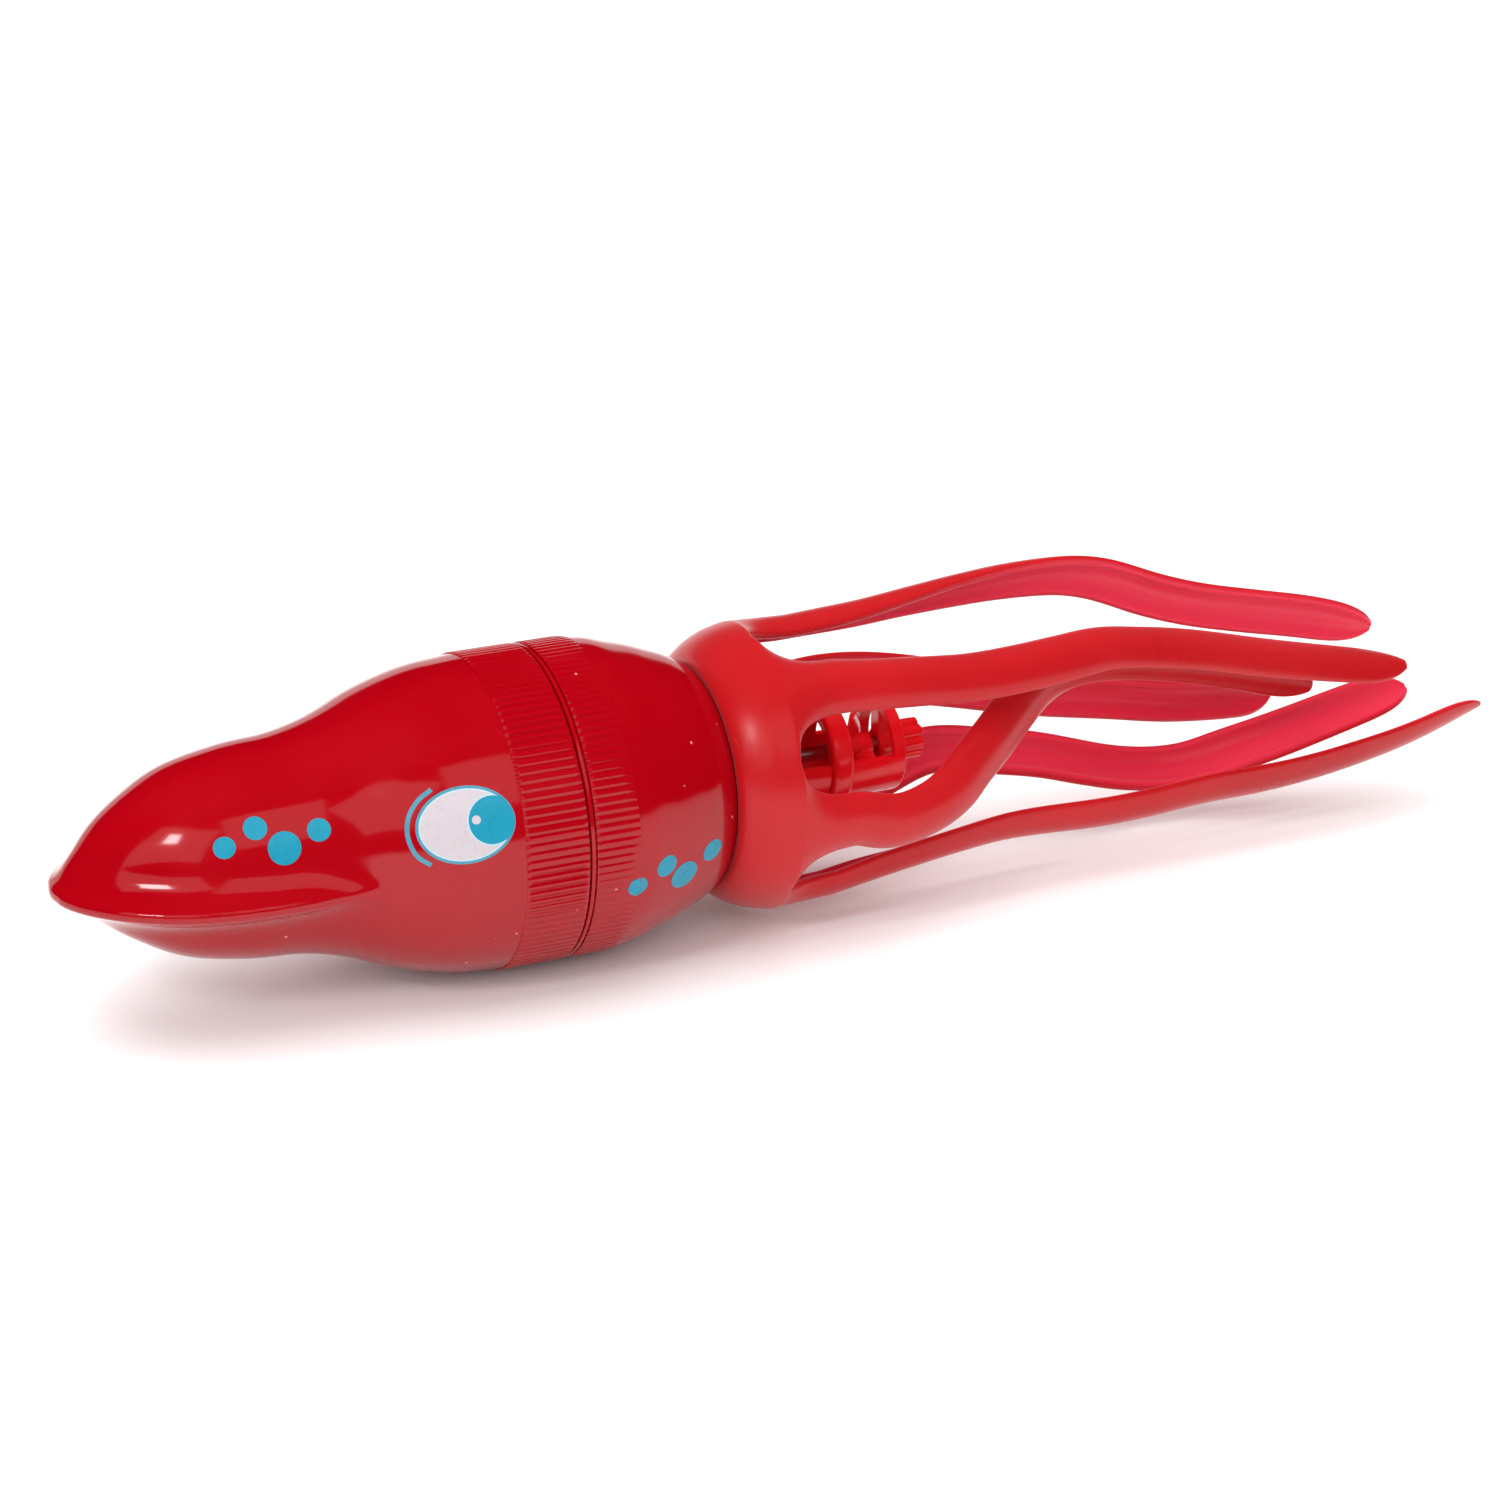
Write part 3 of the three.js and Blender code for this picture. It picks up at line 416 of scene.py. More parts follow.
def add_specks(made, size, amount, tint):
    """Scatters dust specks, a fraction of a millimetre wide, over a finish."""
    tree = made.node_tree
    finish = tree.nodes["Principled BSDF"]
    place = next(n for n in tree.nodes if n.type == "TEX_COORD")
    cells = tree.nodes.new("ShaderNodeTexVoronoi")
    cells.inputs["Scale"].default_value = size
    link(tree, place.outputs["Object"], cells.inputs["Vector"])
    near = tree.nodes.new("ShaderNodeMapRange")
    near.inputs["From Min"].default_value = SPECK_EDGE
    near.inputs["From Max"].default_value = SPECK_EDGE / 2
    link(tree, cells.outputs["Distance"], near.inputs["Value"])
    pick = tree.nodes.new("ShaderNodeSeparateColor")
    link(tree, cells.outputs["Color"], pick.inputs["Color"])
    few = tree.nodes.new("ShaderNodeMath")
    few.operation = "LESS_THAN"
    few.inputs[1].default_value = amount
    link(tree, pick.outputs["Red"], few.inputs[0])
    mask = tree.nodes.new("ShaderNodeMath")
    mask.operation = "MULTIPLY"
    link(tree, near.outputs["Result"], mask.inputs[0])
    link(tree, few.outputs["Value"], mask.inputs[1])
    base = finish.inputs["Base Color"].links[0].from_socket
    mix = tree.nodes.new("ShaderNodeMix")
    mix.data_type = "RGBA"
    link(tree, mask.outputs["Value"], mix.inputs[0])
    link(tree, base, mix.inputs[6])
    mix.inputs[7].default_value = (*tint, 1)
    link(tree, mix.outputs[2], finish.inputs["Base Color"])


add_specks(glossy_red, 260, 0.10, (0.80, 0.25, 0.22))

dome_line = flowing(DOME, 10) + [RING_CORE, (RING_CORE[0], 0)]
dome = turned("head_shell_moulding", dome_line, 256)


def heading(x, y):
    """A place seen from above as an angle from straight ahead and a distance, about BRIM_CENTRE."""
    return math.atan2(abs(y), BRIM_CENTRE - x), math.hypot(x - BRIM_CENTRE, y)


edge = [heading(x, y) for x, y in flowing(BRIM_EDGE, 6)]
for v in dome.data.vertices:
    place = (v.co - spot(0)) / MM
    away = max(0.0, abs(place.z - BRIM_MIDDLE) - BRIM_THICK / 2) / FILLET
    angle, reach = heading(place.x, place.y)
    if away >= 1 or angle >= edge[-1][0] or reach < 1:
        continue
    after = next(i for i, (turn, _) in enumerate(edge) if turn > angle)
    (turn_a, far_a), (turn_b, far_b) = edge[after - 1], edge[after]
    rim = far_a + (far_b - far_a) * (angle - turn_a) / (turn_b - turn_a)
    if rim > reach:
        stretched = 1 + (rim / reach - 1) * (1 - away) ** FLARE
        place.x = BRIM_CENTRE + (place.x - BRIM_CENTRE) * stretched
        place.y *= stretched
        v.co = spot(*place)
finished(dome, "REMESH", mode="VOXEL", voxel_size=MOULD_GRAIN)
finished(dome, "SMOOTH", factor=0.5, iterations=10)
combined(dome, knurled("head_ring", (-HEAD_RING, 0)), "UNION")
cavity_line = [(x + WALL * 0.55, max(r - WALL, 0)) for x, r in DOME[2:]]
cavity = turned(
    "cavity",
    [(NOSE_INSIDE, 0)] + flowing(cavity_line, 3)
    + [(BORE_START, HEAD_BORE), (1, HEAD_BORE), (1, 0)],
    96,
)
combined(dome, cavity, "DIFFERENCE")
depth, inner, outer = GROOVE
groove_line = [(depth, inner), (depth, outer), (1, outer), (1, inner), (depth, inner)]
combined(dome, turned("groove", groove_line, 96), "DIFFERENCE")
head_threads = [
    thread_ridge(f"head_thread_{k}", *HEAD_THREAD, 180 * (k + 0.5)) for k in range(2)
]
head = join(smooth(dome, 32), *(smooth(t, 40) for t in head_threads))
head.name = "head_shell_moulding"
painted(head, glossy_red)
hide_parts("head_shell")
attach(head, "head")

# ---- Printed eyes and spots ----
# Pad-printed inks a few hundredths of a millimetre thick: a white eye with a blue iris and a blue
# line round it, an eyelid line in front of it, and four round spots on the nose and on the tail.
INK = {
    "print_blue": ((0.003, 0.25, 0.37), (0.003, 0.225, 0.335)),
    "print_line": ((0.06, 0.26, 0.36), (0.05, 0.23, 0.32)),
    "print_white": ((0.50, 0.45, 0.475), (0.485, 0.435, 0.46)),
    "print_pale": ((0.44, 0.58, 0.66), (0.42, 0.56, 0.64)),
}
inks = {
    name: grained(f"{name}_ink", *tones, 500, 0.01, (0.26, 0.31), Specular_IOR_Level=0.4)
    for name, tones in INK.items()
}


def pressed(flat, target, angle, lift, ink, body):
    """Presses a flat print, drawn beside the shell, on to the shell's skin."""
    finished(
        flat, "SHRINKWRAP", target=target, wrap_method="PROJECT", wrap_mode="ABOVE_SURFACE",
        use_project_z=True, use_negative_direction=True, use_positive_direction=False,
        offset=lift * MM,
    )
    settled(flat)
    painted(flat, inks[ink])
    for polygon in flat.data.polygons:
        polygon.use_smooth = True
    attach(flat, body)
    return flat


def beside(angle, x, h):
    """Where a flat print waits outside the shell: x along the axis, h up the print's own plane."""
    out = across(angle)
    up = Vector((0, math.sin(math.radians(angle)), math.cos(math.radians(angle))))
    if math.cos(math.radians(angle)) < 0:
        up = -up
    side = up.cross(out)
    turn = Matrix((side, up, out)).transposed()
    return spot(x) + up * h * MM + out * 60 * MM, turn


def disc(name, angle, x, h, radius, height=None, rings=5, within=None):
    """A flat round or oval print, inset ring by ring so that it can follow the shell."""
    height = height or radius
    bpy.ops.object.select_all(action="DESELECT")
    place, turn = beside(angle, x, h)
    bpy.ops.mesh.primitive_circle_add(vertices=64, radius=radius * MM, fill_type="NGON")
    obj = bpy.context.object
    obj.name = name
    obj.data.name = name
    editing(obj)
    bpy.ops.mesh.faces_select_linked_flat(sharpness=1)
    for _ in range(rings):
        bpy.ops.mesh.inset(thickness=radius * MM / (rings + 0.6))
    bpy.ops.mesh.poke()
    bpy.ops.mesh.select_all(action="SELECT")
    bpy.ops.transform.resize(value=(1, height / radius, 1), center_override=(0, 0, 0))
    done()
    if within:
        cx, ch, wide, tall = within
        for v in obj.data.vertices:
            dx, dh = v.co.x / MM + (x - cx) * side_of(angle), v.co.y / MM + h - ch
            reach = math.hypot(dx / wide, dh / tall)
            if reach > 1:
                v.co.x = (dx / reach - (x - cx) * side_of(angle)) * MM
                v.co.y = (dh / reach - (h - ch)) * MM
    obj.matrix_world = Matrix.Translation(place) @ turn.to_4x4()
    return obj


def side_of(angle):
    """The print plane's own x, which runs with the toy's on the near side only."""
    return beside(angle, 0, 0)[1].col[0].x


EYE = (-23.23, 0.22, 9.21, 7.27)
LINE = 0.55
IRIS = (-18.31, 0.43, 4.52)
GLINT = (-21.38, 0.9, 0.84)
LID = [
    (-28.4, 7.6), (-31, 6), (-33, 3.6), (-33.85, 0.8), (-33.6, -2), (-32.5, -4.4), (-30.3, -6.3),
]
LID_WIDE = 0.8
NOSE_SPOTS = [
    (-66.57, 0.89, 2.05), (-60.47, 3.49, 2.2), (-55.77, -0.99, 3.13), (-48.96, 1.28, 2.17),
]
TAIL_SPOTS = [(10.01, 1.18, 2.03), (16.28, 3.72, 2.24), (20.76, -0.29, 3.0), (27.32, 2.46, 2.23)]
SIDES = {"near": (19, 24, -17), "far": (161, 156, 197)}

for side, (eye_at, nose_at, tail_at) in SIDES.items():
    x, h, wide, tall = EYE
    pressed(
        disc(f"eye_line_{side}", eye_at, x, h, wide, tall, 8),
        head, eye_at, 0.03, "print_line", "head",
    )
    pressed(
        disc(f"eye_pale_{side}", eye_at, x, h, wide - LINE, tall - LINE, 8),
        head, eye_at, 0.05, "print_pale", "head",
    )
    pressed(
        disc(f"eye_white_{side}", eye_at, x, h, wide - LINE - 0.3, tall - LINE - 0.3, 8),
        head, eye_at, 0.07, "print_white", "head",
    )
    inside = (x, h, wide - LINE, tall - LINE)
    pressed(
        disc(f"iris_rim_{side}", eye_at, IRIS[0], IRIS[1], IRIS[2] + 0.3, None, 6, inside),
        head, eye_at, 0.09, "print_pale", "head",
    )
    inside = (x, h, wide - 0.25, tall - 0.25)
    pressed(
        disc(f"iris_{side}", eye_at, IRIS[0], IRIS[1], IRIS[2], None, 6, inside),
        head, eye_at, 0.11, "print_blue", "head",
    )
    pressed(
        disc(f"glint_{side}", eye_at, GLINT[0], GLINT[1], GLINT[2], None, 3),
        head, eye_at, 0.13, "print_white", "head",
    )
    bpy.ops.object.select_all(action="DESELECT")
    bpy.ops.mesh.primitive_grid_add(x_subdivisions=36, y_subdivisions=2, size=2)
    lid = bpy.context.object
    lid.name = f"eyelid_{side}"
    lid.data.name = lid.name
    course = flowing(LID, 12)
    for v in lid.data.vertices:
        at = (v.co.x + 1) / 2 * (len(course) - 1)
        k = min(int(at), len(course) - 2)
        along = (course[k + 1] - course[k])
        point = course[k] + along * (at - k)
        out = Vector((-along.y, along.x)).normalized()
        point += out * v.co.y * LID_WIDE / 2
        v.co = ((point.x - x) * side_of(eye_at) * MM, (point.y - h) * MM, 0)
    place, turn = beside(eye_at, x, h)
    lid.matrix_world = Matrix.Translation(place) @ turn.to_4x4()
    pressed(lid, head, eye_at, 0.04, "print_line", "head")
    for k, (sx, sh, radius) in enumerate(NOSE_SPOTS, 1):
        pressed(
            disc(f"nose_spot_{side}_{k}", nose_at, sx, sh, radius, None, 5),
            head, nose_at, 0.04, "print_blue", "head",
        )

# ---- Rear shell ----
# The second glossy red moulding: a threaded neck that the head screws on to, a knurled ring whose
# ribs run out behind, a round tail, and the boss that the rubber is stretched over.
NECK_R = 25.6
NECK_START, NECK_BORE = -11, 23.4
FLANGE_X = 0.4
RING_TAIL = 10.4
REAR_THREAD = (25.0, 27.4, -9.8, -1.6)
TAIL = [
    (10.4, 30.7), (14, 30.2), (18, 29), (22, 27.8), (25, 26.7), (29, 25.1), (32, 23.5),
    (34, 21.9),
]
LIP = 1.3
body_line = (
    [(NECK_START, NECK_BORE), (NECK_START, NECK_R - 0.3), (NECK_START + 0.3, NECK_R)]
    + [(FLANGE_X, NECK_R), (FLANGE_X, 30.5)]
    + [(0.5, 30.75), (0.75, 30.85), (LIP - 0.2, 30.85), (LIP, 30.7), (LIP, 30.3)]
    + [(LIP + 0.25, 30.3)]
    + [(9.6, 30.3), (9.6, 30.7)]
    + [tuple(p) for p in flowing(TAIL, 4)]
    + [(34, 20.3), (40.6, 20.3), (40.9, 21.4), (43, 21.2), (43, 3.7), (40.6, 3.7), (40.6, 17.9)]
    + [(32, 17.9), (28, 22.7), (22, 25.4), (14, 27.8), (3.4, 28.3)]
    + [(3.4, NECK_BORE), (NECK_START, NECK_BORE)]
)
rear = turned("rear_shell_moulding", body_line, 160)
rear_ring = knurled("rear_ring", (LIP + 0.25, RING_TAIL), fade=1.6)
bore = turned("bore", [(0, 28), (0, 0), (12, 0), (12, 28), (0, 28)], 64)
combined(rear_ring, bore, "DIFFERENCE")
rear_threads = [thread_ridge(f"rear_thread_{k}", *REAR_THREAD, 180 * k) for k in range(2)]
rear = join(smooth(rear, 28), smooth(rear_ring, 40), *(smooth(t, 40) for t in rear_threads))
painted(rear, glossy_red)
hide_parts("rear_shell")
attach(rear, "rear_body")

for side, (eye_at, nose_at, tail_at) in SIDES.items():
    for k, (sx, sh, radius) in enumerate(TAIL_SPOTS, 1):
        pressed(
            disc(f"tail_spot_{side}_{k}", tail_at, sx, sh, radius, None, 6),
            rear, tail_at, 0.04, "print_blue", "rear_body",
        )

# ---- Rubber skirt ----
# One moulding in soft red rubber: a collar stretched over the rear shell's boss, six roots that
# leave rounded windows between them, and six wavy arms, hollow on the side that faces inwards.
# It is split at the roots into a collar and one piece for each arm.
COLLAR = [
    (34.1, 22.2), (34.45, 23.3), (35.2, 24.3), (36.6, 25.5), (38.6, 26.8), (41.1, 27.9),
    (43.4, 28.5),
]
COLLAR_LIP = 1.4
LIP_RUN = 8
WINDOW_X = 45.5
ROOT_X = 58.0
WINDOW_NOSE = 11.2
SKIRT_R = 28.9
ROOT_R = 28.4
ROOT_WIDTH = 13.2
ROOT_DEPTH = 4.5
RUBBER = 2.3
TIP_WALL = 1.7
HINGE_X = 58.5
BEND = (-4.5, 7)
# Each arm: its angle on the collar, then rows of distance behind the root, y, height over the
# axis, direction of the convex side in degrees, width and depth.
ARMS = {
    "arm_1": (54, [
        (10, -16.6, 21.9, 54, 12, 4.6), (20, -16.6, 20.8, 52, 11.4, 4.4),
        (30, -16.8, 20, 52, 11, 4.2), (40, -16.4, 20, 53, 10.8, 4),
        (50, -15.2, 20.2, 55, 10.6, 3.8), (61, -13.2, 20.2, 58, 10.2, 3.6),
        (71, -12, 18.5, 60, 10, 3.4), (84, -11, 15.6, 60, 9.8, 3.2),
        (100, -9.9, 10.9, 58, 9.4, 3), (117, -8.8, 6.3, 58, 8.8, 2.6),
        (136, -8.6, 1.8, 58, 7.8, 2),
    ]),
    "arm_2": (114, [
        (9, 11.4, 26.4, 116, 12, 4.8), (17, 11.8, 26.6, 122, 11.2, 4.6),
        (27, 12.4, 27.2, 130, 10.4, 4.4), (38, 12.8, 27.7, 142, 9.8, 4.2),
        (50, 13, 27.8, 152, 9.6, 4), (63, 12.2, 27, 160, 9.6, 3.6), (71, 11.4, 25, 164, 9.6, 3.4),
        (82, 10, 20.4, 166, 9.6, 3.2), (92, 8.8, 17, 168, 9.4, 3),
        (105, 7.6, 13.8, 170, 9.2, 2.8), (118, 6.6, 10.7, 172, 8.8, 2.4),
        (135, 5.2, 5.6, 174, 7.6, 1.8),
    ]),
    "arm_3": (173, [
        (9, 28.6, 5.4, 173, 12.4, 4.8), (18, 28.6, 5.6, 173, 11.8, 4.6),
        (29, 27.8, 4.2, 173, 11.2, 4.2), (45, 26, 0.6, 172, 10.4, 3.8),
        (57, 25, -2.4, 172, 10, 3.6), (66, 24, -4.4, 172, 9.8, 3.4),
        (81, 22.8, -7.2, 174, 9.4, 3.2), (94, 21.8, -9.8, 176, 9, 3),
        (106, 20.8, -11.2, 178, 8.6, 2.6), (120, 19.6, -12.2, 180, 7.8, 2),
    ]),
    "arm_4": (233, [
        (10, 18, -21.6, 233, 12.2, 4.8), (21, 19.6, -19, 231, 11.4, 4.6),
        (37, 21.4, -14.6, 229, 11, 4.2), (51, 18.2, -16, 229, 11, 4),
        (61, 16.6, -17.9, 231, 11, 3.8), (69, 15, -20.2, 233, 11, 3.8),
        (78, 13.9, -22.7, 235, 10.8, 3.6), (87, 12.5, -23.9, 237, 10.6, 3.4),
        (95, 10.8, -23.4, 237, 10.4, 3.2), (104, 9.3, -21.1, 235, 10.2, 3.2),
        (114, 8.1, -18.6, 233, 9.8, 3), (132, 6.7, -13.8, 231, 9, 2.6),
        (146, 6.6, -10.8, 231, 7.6, 2),
    ]),
    "arm_5": (293, [
        (9, -11.2, -24.8, 294, 12, 4.8), (18, -12, -23, 298, 11.2, 4.6),
        (29, -11.8, -21.6, 304, 10.8, 4.2), (42, -10.6, -21, 310, 10.6, 4),
        (63, -10.4, -21.9, 315, 10.6, 3.8), (75, -10.4, -21.6, 317, 10.4, 3.6),
        (88, -9.8, -21, 318, 10.2, 3.4), (102, -9.2, -21.1, 318, 10, 3.2),
        (113, -8.6, -20.7, 318, 9.6, 3), (126, -7.8, -19.4, 318, 9.4, 2.6),
        (141, -6.1, -17.3, 318, 8.2, 2.2), (159, -3.3, -13.3, 318, 6.8, 1.4),
    ]),
    "arm_6": (349.5, [
        (9, -27.4, -7.4, 350, 12.8, 4.8), (17.5, -26.4, -6, 352, 12.6, 4.6),
        (23.5, -25, -3.2, 355, 12.4, 4.4), (29, -22.3, 0.4, 358, 12, 4.2),
        (36, -18.2, 4.2, 362, 11.6, 4), (43, -13, 7.6, 368, 11, 3.8),
        (50.5, -7.6, 10.2, 372, 10.4, 3.6), (58, -3.3, 11.2, 376, 10, 3.4),
        (68, -0.3, 10.7, 376, 9.8, 3.2), (80.5, 2, 8, 374, 9.6, 3), (93, 3.1, 4.4, 370, 9.2, 2.8),
        (108, 4.2, -0.7, 366, 8.6, 2.4), (122, 5.4, -6.6, 364, 7.4, 1.8),
    ]),
}
COLUMNS = 10
ROOT_ROWS = 7
SPLIT_ROW = 6
ARM_ROWS = 40
TIP_ROUND = 0.055
TIP_ROWS = 5
TIP_LEAST = 0.16
FULLER = 0.22
FORWARD = Vector((1, 0, 0))


def channel(crown, forward, outward, width, depth, wall):
    """Outer and inner rows of points across a channel whose crown lies at the given point."""
    n = (outward - forward * outward.dot(forward)).normalized()
    b = forward.cross(n)
    bend = (width * width / 4 + depth * depth) / (2 * depth)
    half = math.atan2(width / 2, bend - depth)
    rows = []
    for radius, share in ((bend, 1), (bend - wall, 0.97)):
        row = []
        for i in range(COLUMNS + 1):
            u = half * share * (2 * i / COLUMNS - 1)
            row.append(crown + n * (radius * math.cos(u) - bend) + b * (radius * math.sin(u)))
        rows.append(row)
    return rows


def between(values, t):
    """A value read off a list at a share of its length."""
    at = t * (len(values) - 1)
    k = min(int(at), len(values) - 2)
    return values[k] + (values[k + 1] - values[k]) * (at - k)


names = list(ARMS)
angles = [ARMS[n][0] for n in names]
borders = [
    (angles[k] + (angles[(k + 1) % 6] + (360 if k == 5 else 0))) / 2 for k in range(6)
]
points, faces, paint, inward = [], [], [], []


def point(p, hollow):
    """Adds one point, given in millimetres from the joint, and says if it is on the hollow side."""
    points.append(spot(*p))
    inward.append(hollow)
    return len(points) - 1


def placed(rows):
    """Adds an outer and an inner row of points, from the far edge to the near one."""
    return [[point(p, side) for p in reversed(line)] for side, line in zip((0.0, 1.0), rows)]


def sheet_rows(upper, lower, colour, close=(True, True)):
    """Faces between two rows of (outer, inner) points, with a rim on each open side."""
    (a, b), (c, d) = upper, lower
    for i in range(len(a) - 1):
        faces.append((a[i], a[i + 1], c[i + 1], c[i]))
        faces.append((b[i + 1], b[i], d[i], d[i + 1]))
        paint.extend((colour, colour))
    if close[0]:
        faces.append((b[0], a[0], c[0], d[0]))
        paint.append(colour)
    if close[1]:
        faces.append((a[-1], b[-1], d[-1], c[-1]))
        paint.append(colour)


rings = []
for x, r in COLLAR + [(WINDOW_X, SKIRT_R)]:
    outer, inner = [], []
    lean = min(1.0, (x - COLLAR[0][0]) / LIP_RUN)
    for k in range(6):
        first = borders[k - 1] - (360 if k == 0 else 0)
        for i in range(COLUMNS):
            turn = across(first + (borders[k] - first) * i / COLUMNS)
            outer.append(point((x, turn.y * r, turn.z * r), 0.0))
            deep = r - (COLLAR_LIP + (RUBBER - COLLAR_LIP) * lean)
            inner.append(point((x + 0.5 * (1 - lean), turn.y * deep, turn.z * deep), 1.0))
    rings.append((outer + outer[:1], inner + inner[:1]))
for upper, lower in zip(rings, rings[1:]):
    sheet_rows(upper, lower, 0, (False, False))
front_outer, front_inner = rings[0]
for i in range(len(front_outer) - 1):
    faces.append((front_inner[i], front_inner[i + 1], front_outer[i + 1], front_outer[i]))
    paint.append(0)

for k, name in enumerate(names):
    angle, line = ARMS[name]
    first = borders[k - 1] - (360 if k == 0 else 0)
    middle, span = (first + borders[k]) / 2, borders[k] - first
    outer, inner = rings[-1]
    own = slice(k * COLUMNS, (k + 1) * COLUMNS + 1)
    above = (outer[own], inner[own])
    quarter = math.pi / 2
    places = [
        WINDOW_NOSE * (1 - math.cos(quarter * j / ROOT_ROWS)) for j in range(1, ROOT_ROWS + 1)
    ]
    places += [ROOT_X - WINDOW_X]
    for j, run in enumerate(places, 1):
        opened = math.sqrt(1 - (1 - min(1, run / WINDOW_NOSE)) ** 2)
        crown = SKIRT_R + (ROOT_R - SKIRT_R) * run / (ROOT_X - WINDOW_X)
        full = 2 * crown * math.sin(math.radians(span) / 2)
        width = full + (ROOT_WIDTH - full) * opened
        flat = crown - math.sqrt(crown**2 - (width / 2) ** 2)
        depth = flat + (ROOT_DEPTH - flat) * opened
        out = across(middle + (angle - middle) * opened)
        centre = out * crown + Vector((WINDOW_X + run, 0, 0))
        rows = channel(centre, FORWARD, out, width, depth, RUBBER)
        row = placed(rows)
        sheet_rows(above, row, 0 if j <= SPLIT_ROW else k + 1)
        above = row
    root = across(angle) * ROOT_R + Vector((ROOT_X + 1, 0, 0))
    stops = [root] + [Vector((ROOT_X + x, y, z)) for x, y, z, *_ in line]
    course = flowing(stops, 24)
    facings = [angle] + [row[3] for row in line]
    widths = [ROOT_WIDTH] + [row[4] for row in line]
    depths = [ROOT_DEPTH] + [row[5] for row in line]
    shares = [s / ARM_ROWS * (1 - TIP_ROUND) for s in range(ARM_ROWS)]
    shares += [1 - TIP_ROUND * (1 - math.sin(quarter * s / TIP_ROWS)) for s in range(TIP_ROWS)]
    shares += [0.998]
    for t in shares:
        at = t * (len(course) - 1)
        i = min(int(at), len(course) - 2)
        crown = course[i].lerp(course[i + 1], at - i)
        ahead = course[min(i + 2, len(course) - 1)] - course[max(i - 1, 0)]
        forward = ahead.normalized().lerp(FORWARD, max(0, 1 - 8 * t)).normalized()
        from_tip = min(1, (1 - t) / TIP_ROUND)
        tip = max(TIP_LEAST, math.sqrt(1 - (1 - from_tip) ** 2))
        wall = RUBBER + (TIP_WALL - RUBBER) * t
        width = between(widths, t) * (1 + FULLER * t) * tip
        depth = between(depths, t) * tip
        facing = across(between(facings, t))
        rows = channel(crown, forward, facing, width, depth, wall * (0.45 + 0.55 * tip))
        row = placed(rows)
        sheet_rows(above, row, k + 1)
        above = row
    outer, inner = above
    for i in range(COLUMNS):
        faces.append((outer[i], outer[i + 1], inner[i + 1], inner[i]))
        paint.append(k + 1)

sheet_mesh = bpy.data.meshes.new("skirt")
sheet_mesh.from_pydata(points, [], faces)
skirt = bpy.data.objects.new("skirt", sheet_mesh)
scene.collection.objects.link(skirt)
hollow = sheet_mesh.attributes.new("hollow", "FLOAT", "POINT")
hollow.data.foreach_set("value", inward)
cut_from = sheet_mesh.attributes.new("piece", "INT", "FACE")
cut_from.data.foreach_set("value", paint)

rubber_red = grained(
    "soft_red_rubber", (0.47, 0.0028, 0.0065), (0.41, 0.0020, 0.0050), 30, 0.08, (0.26, 0.36),
    Subsurface_Weight=0.35, Subsurface_Radius=(1.0, 0.10, 0.12), Subsurface_Scale=0.003,
    Specular_IOR_Level=0.34, Sheen_Weight=0.10, Sheen_Roughness=0.45,
)
tree = rubber_red.node_tree
rubber_finish = tree.nodes["Principled BSDF"]
# Painted light: the hollow inner faces are painted a lighter, pinker red than the outside. This
# stands in for light that shines through the thin rubber on to them.
side_seen = tree.nodes.new("ShaderNodeAttribute")
side_seen.attribute_name = "hollow"
painted_light_pink = tree.nodes.new("ShaderNodeMix")
painted_light_pink.data_type = "RGBA"
painted_light_pink.inputs[7].default_value = (0.66, 0.024, 0.060, 1)
link(tree, side_seen.outputs["Fac"], painted_light_pink.inputs[0])
link(tree, rubber_finish.inputs["Base Color"].links[0].from_socket, painted_light_pink.inputs[6])
link(tree, painted_light_pink.outputs[2], rubber_finish.inputs["Base Color"])
for _ in range(7):
    skirt.data.materials.append(rubber_red)
for polygon, colour in zip(skirt.data.polygons, paint):
    polygon.material_index = colour
    polygon.use_smooth = True
editing(skirt)
bpy.ops.mesh.normals_make_consistent(inside=False)
done()
finished(skirt, "SUBSURF", levels=2, render_levels=2)
shared = {tuple(round(c, 7) for c in v.co): v.normal.copy() for v in skirt.data.vertices}
before = set(scene.objects)
editing(skirt)
bpy.ops.mesh.separate(type="MATERIAL")
done()
for part in [o for o in scene.objects if o == skirt or o not in before]:
    cut_from = part.data.attributes["piece"]
    index = cut_from.data[0].value
    part.data.attributes.remove(cut_from)
    part.name = f"rubber_{names[index - 1]}" if index else "rubber_collar"
    part.data.name = part.name
    part.data.materials.clear()
    part.data.materials.append(rubber_red)
    for polygon in part.data.polygons:
        polygon.material_index = 0
    normals = [shared[tuple(round(c, 7) for c in v.co)] for v in part.data.vertices]
    part.data.normals_split_custom_set_from_vertices(normals)
    if index:
        way = across(angles[index - 1]) * ROOT_R
        start, end = (spot(HINGE_X + reach, way.y, way.z) for reach in BEND)
        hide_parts(names[index - 1])
        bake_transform(part)
        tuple(start)
        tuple(end)
    else:
        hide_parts("skirt_collar")
        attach(part, "rear_body")

# ---- Propeller tube ----
# Screwed to the boss by its flange. A red tube that is open above, in two stretches either side of
# a hoop, and ends in a ring with a spoke that carries the shaft.
TUBE_R, TUBE_BORE = 9.6, 8.0
TUBE_FLANGE = (43.35, 45.75)
TUBE_FLANGE_R = 15
BARREL_X, OPENING_X = 45.2, 52.5
HOOP_X, HOOP_LENGTH, HOOP_R = 60.0, 4.5, 10.9
TUBE_END = 76.35
SPOKE_X = TUBE_END - 2.6
SPOKE = (1.7, 9)
BEARING_R, SHAFT_HOLE_R = 3.2, 1.6
TUBE_SCREW_R, TUBE_SCREW_HOLE = 12.0, 1.35
LEDGE = 0.6


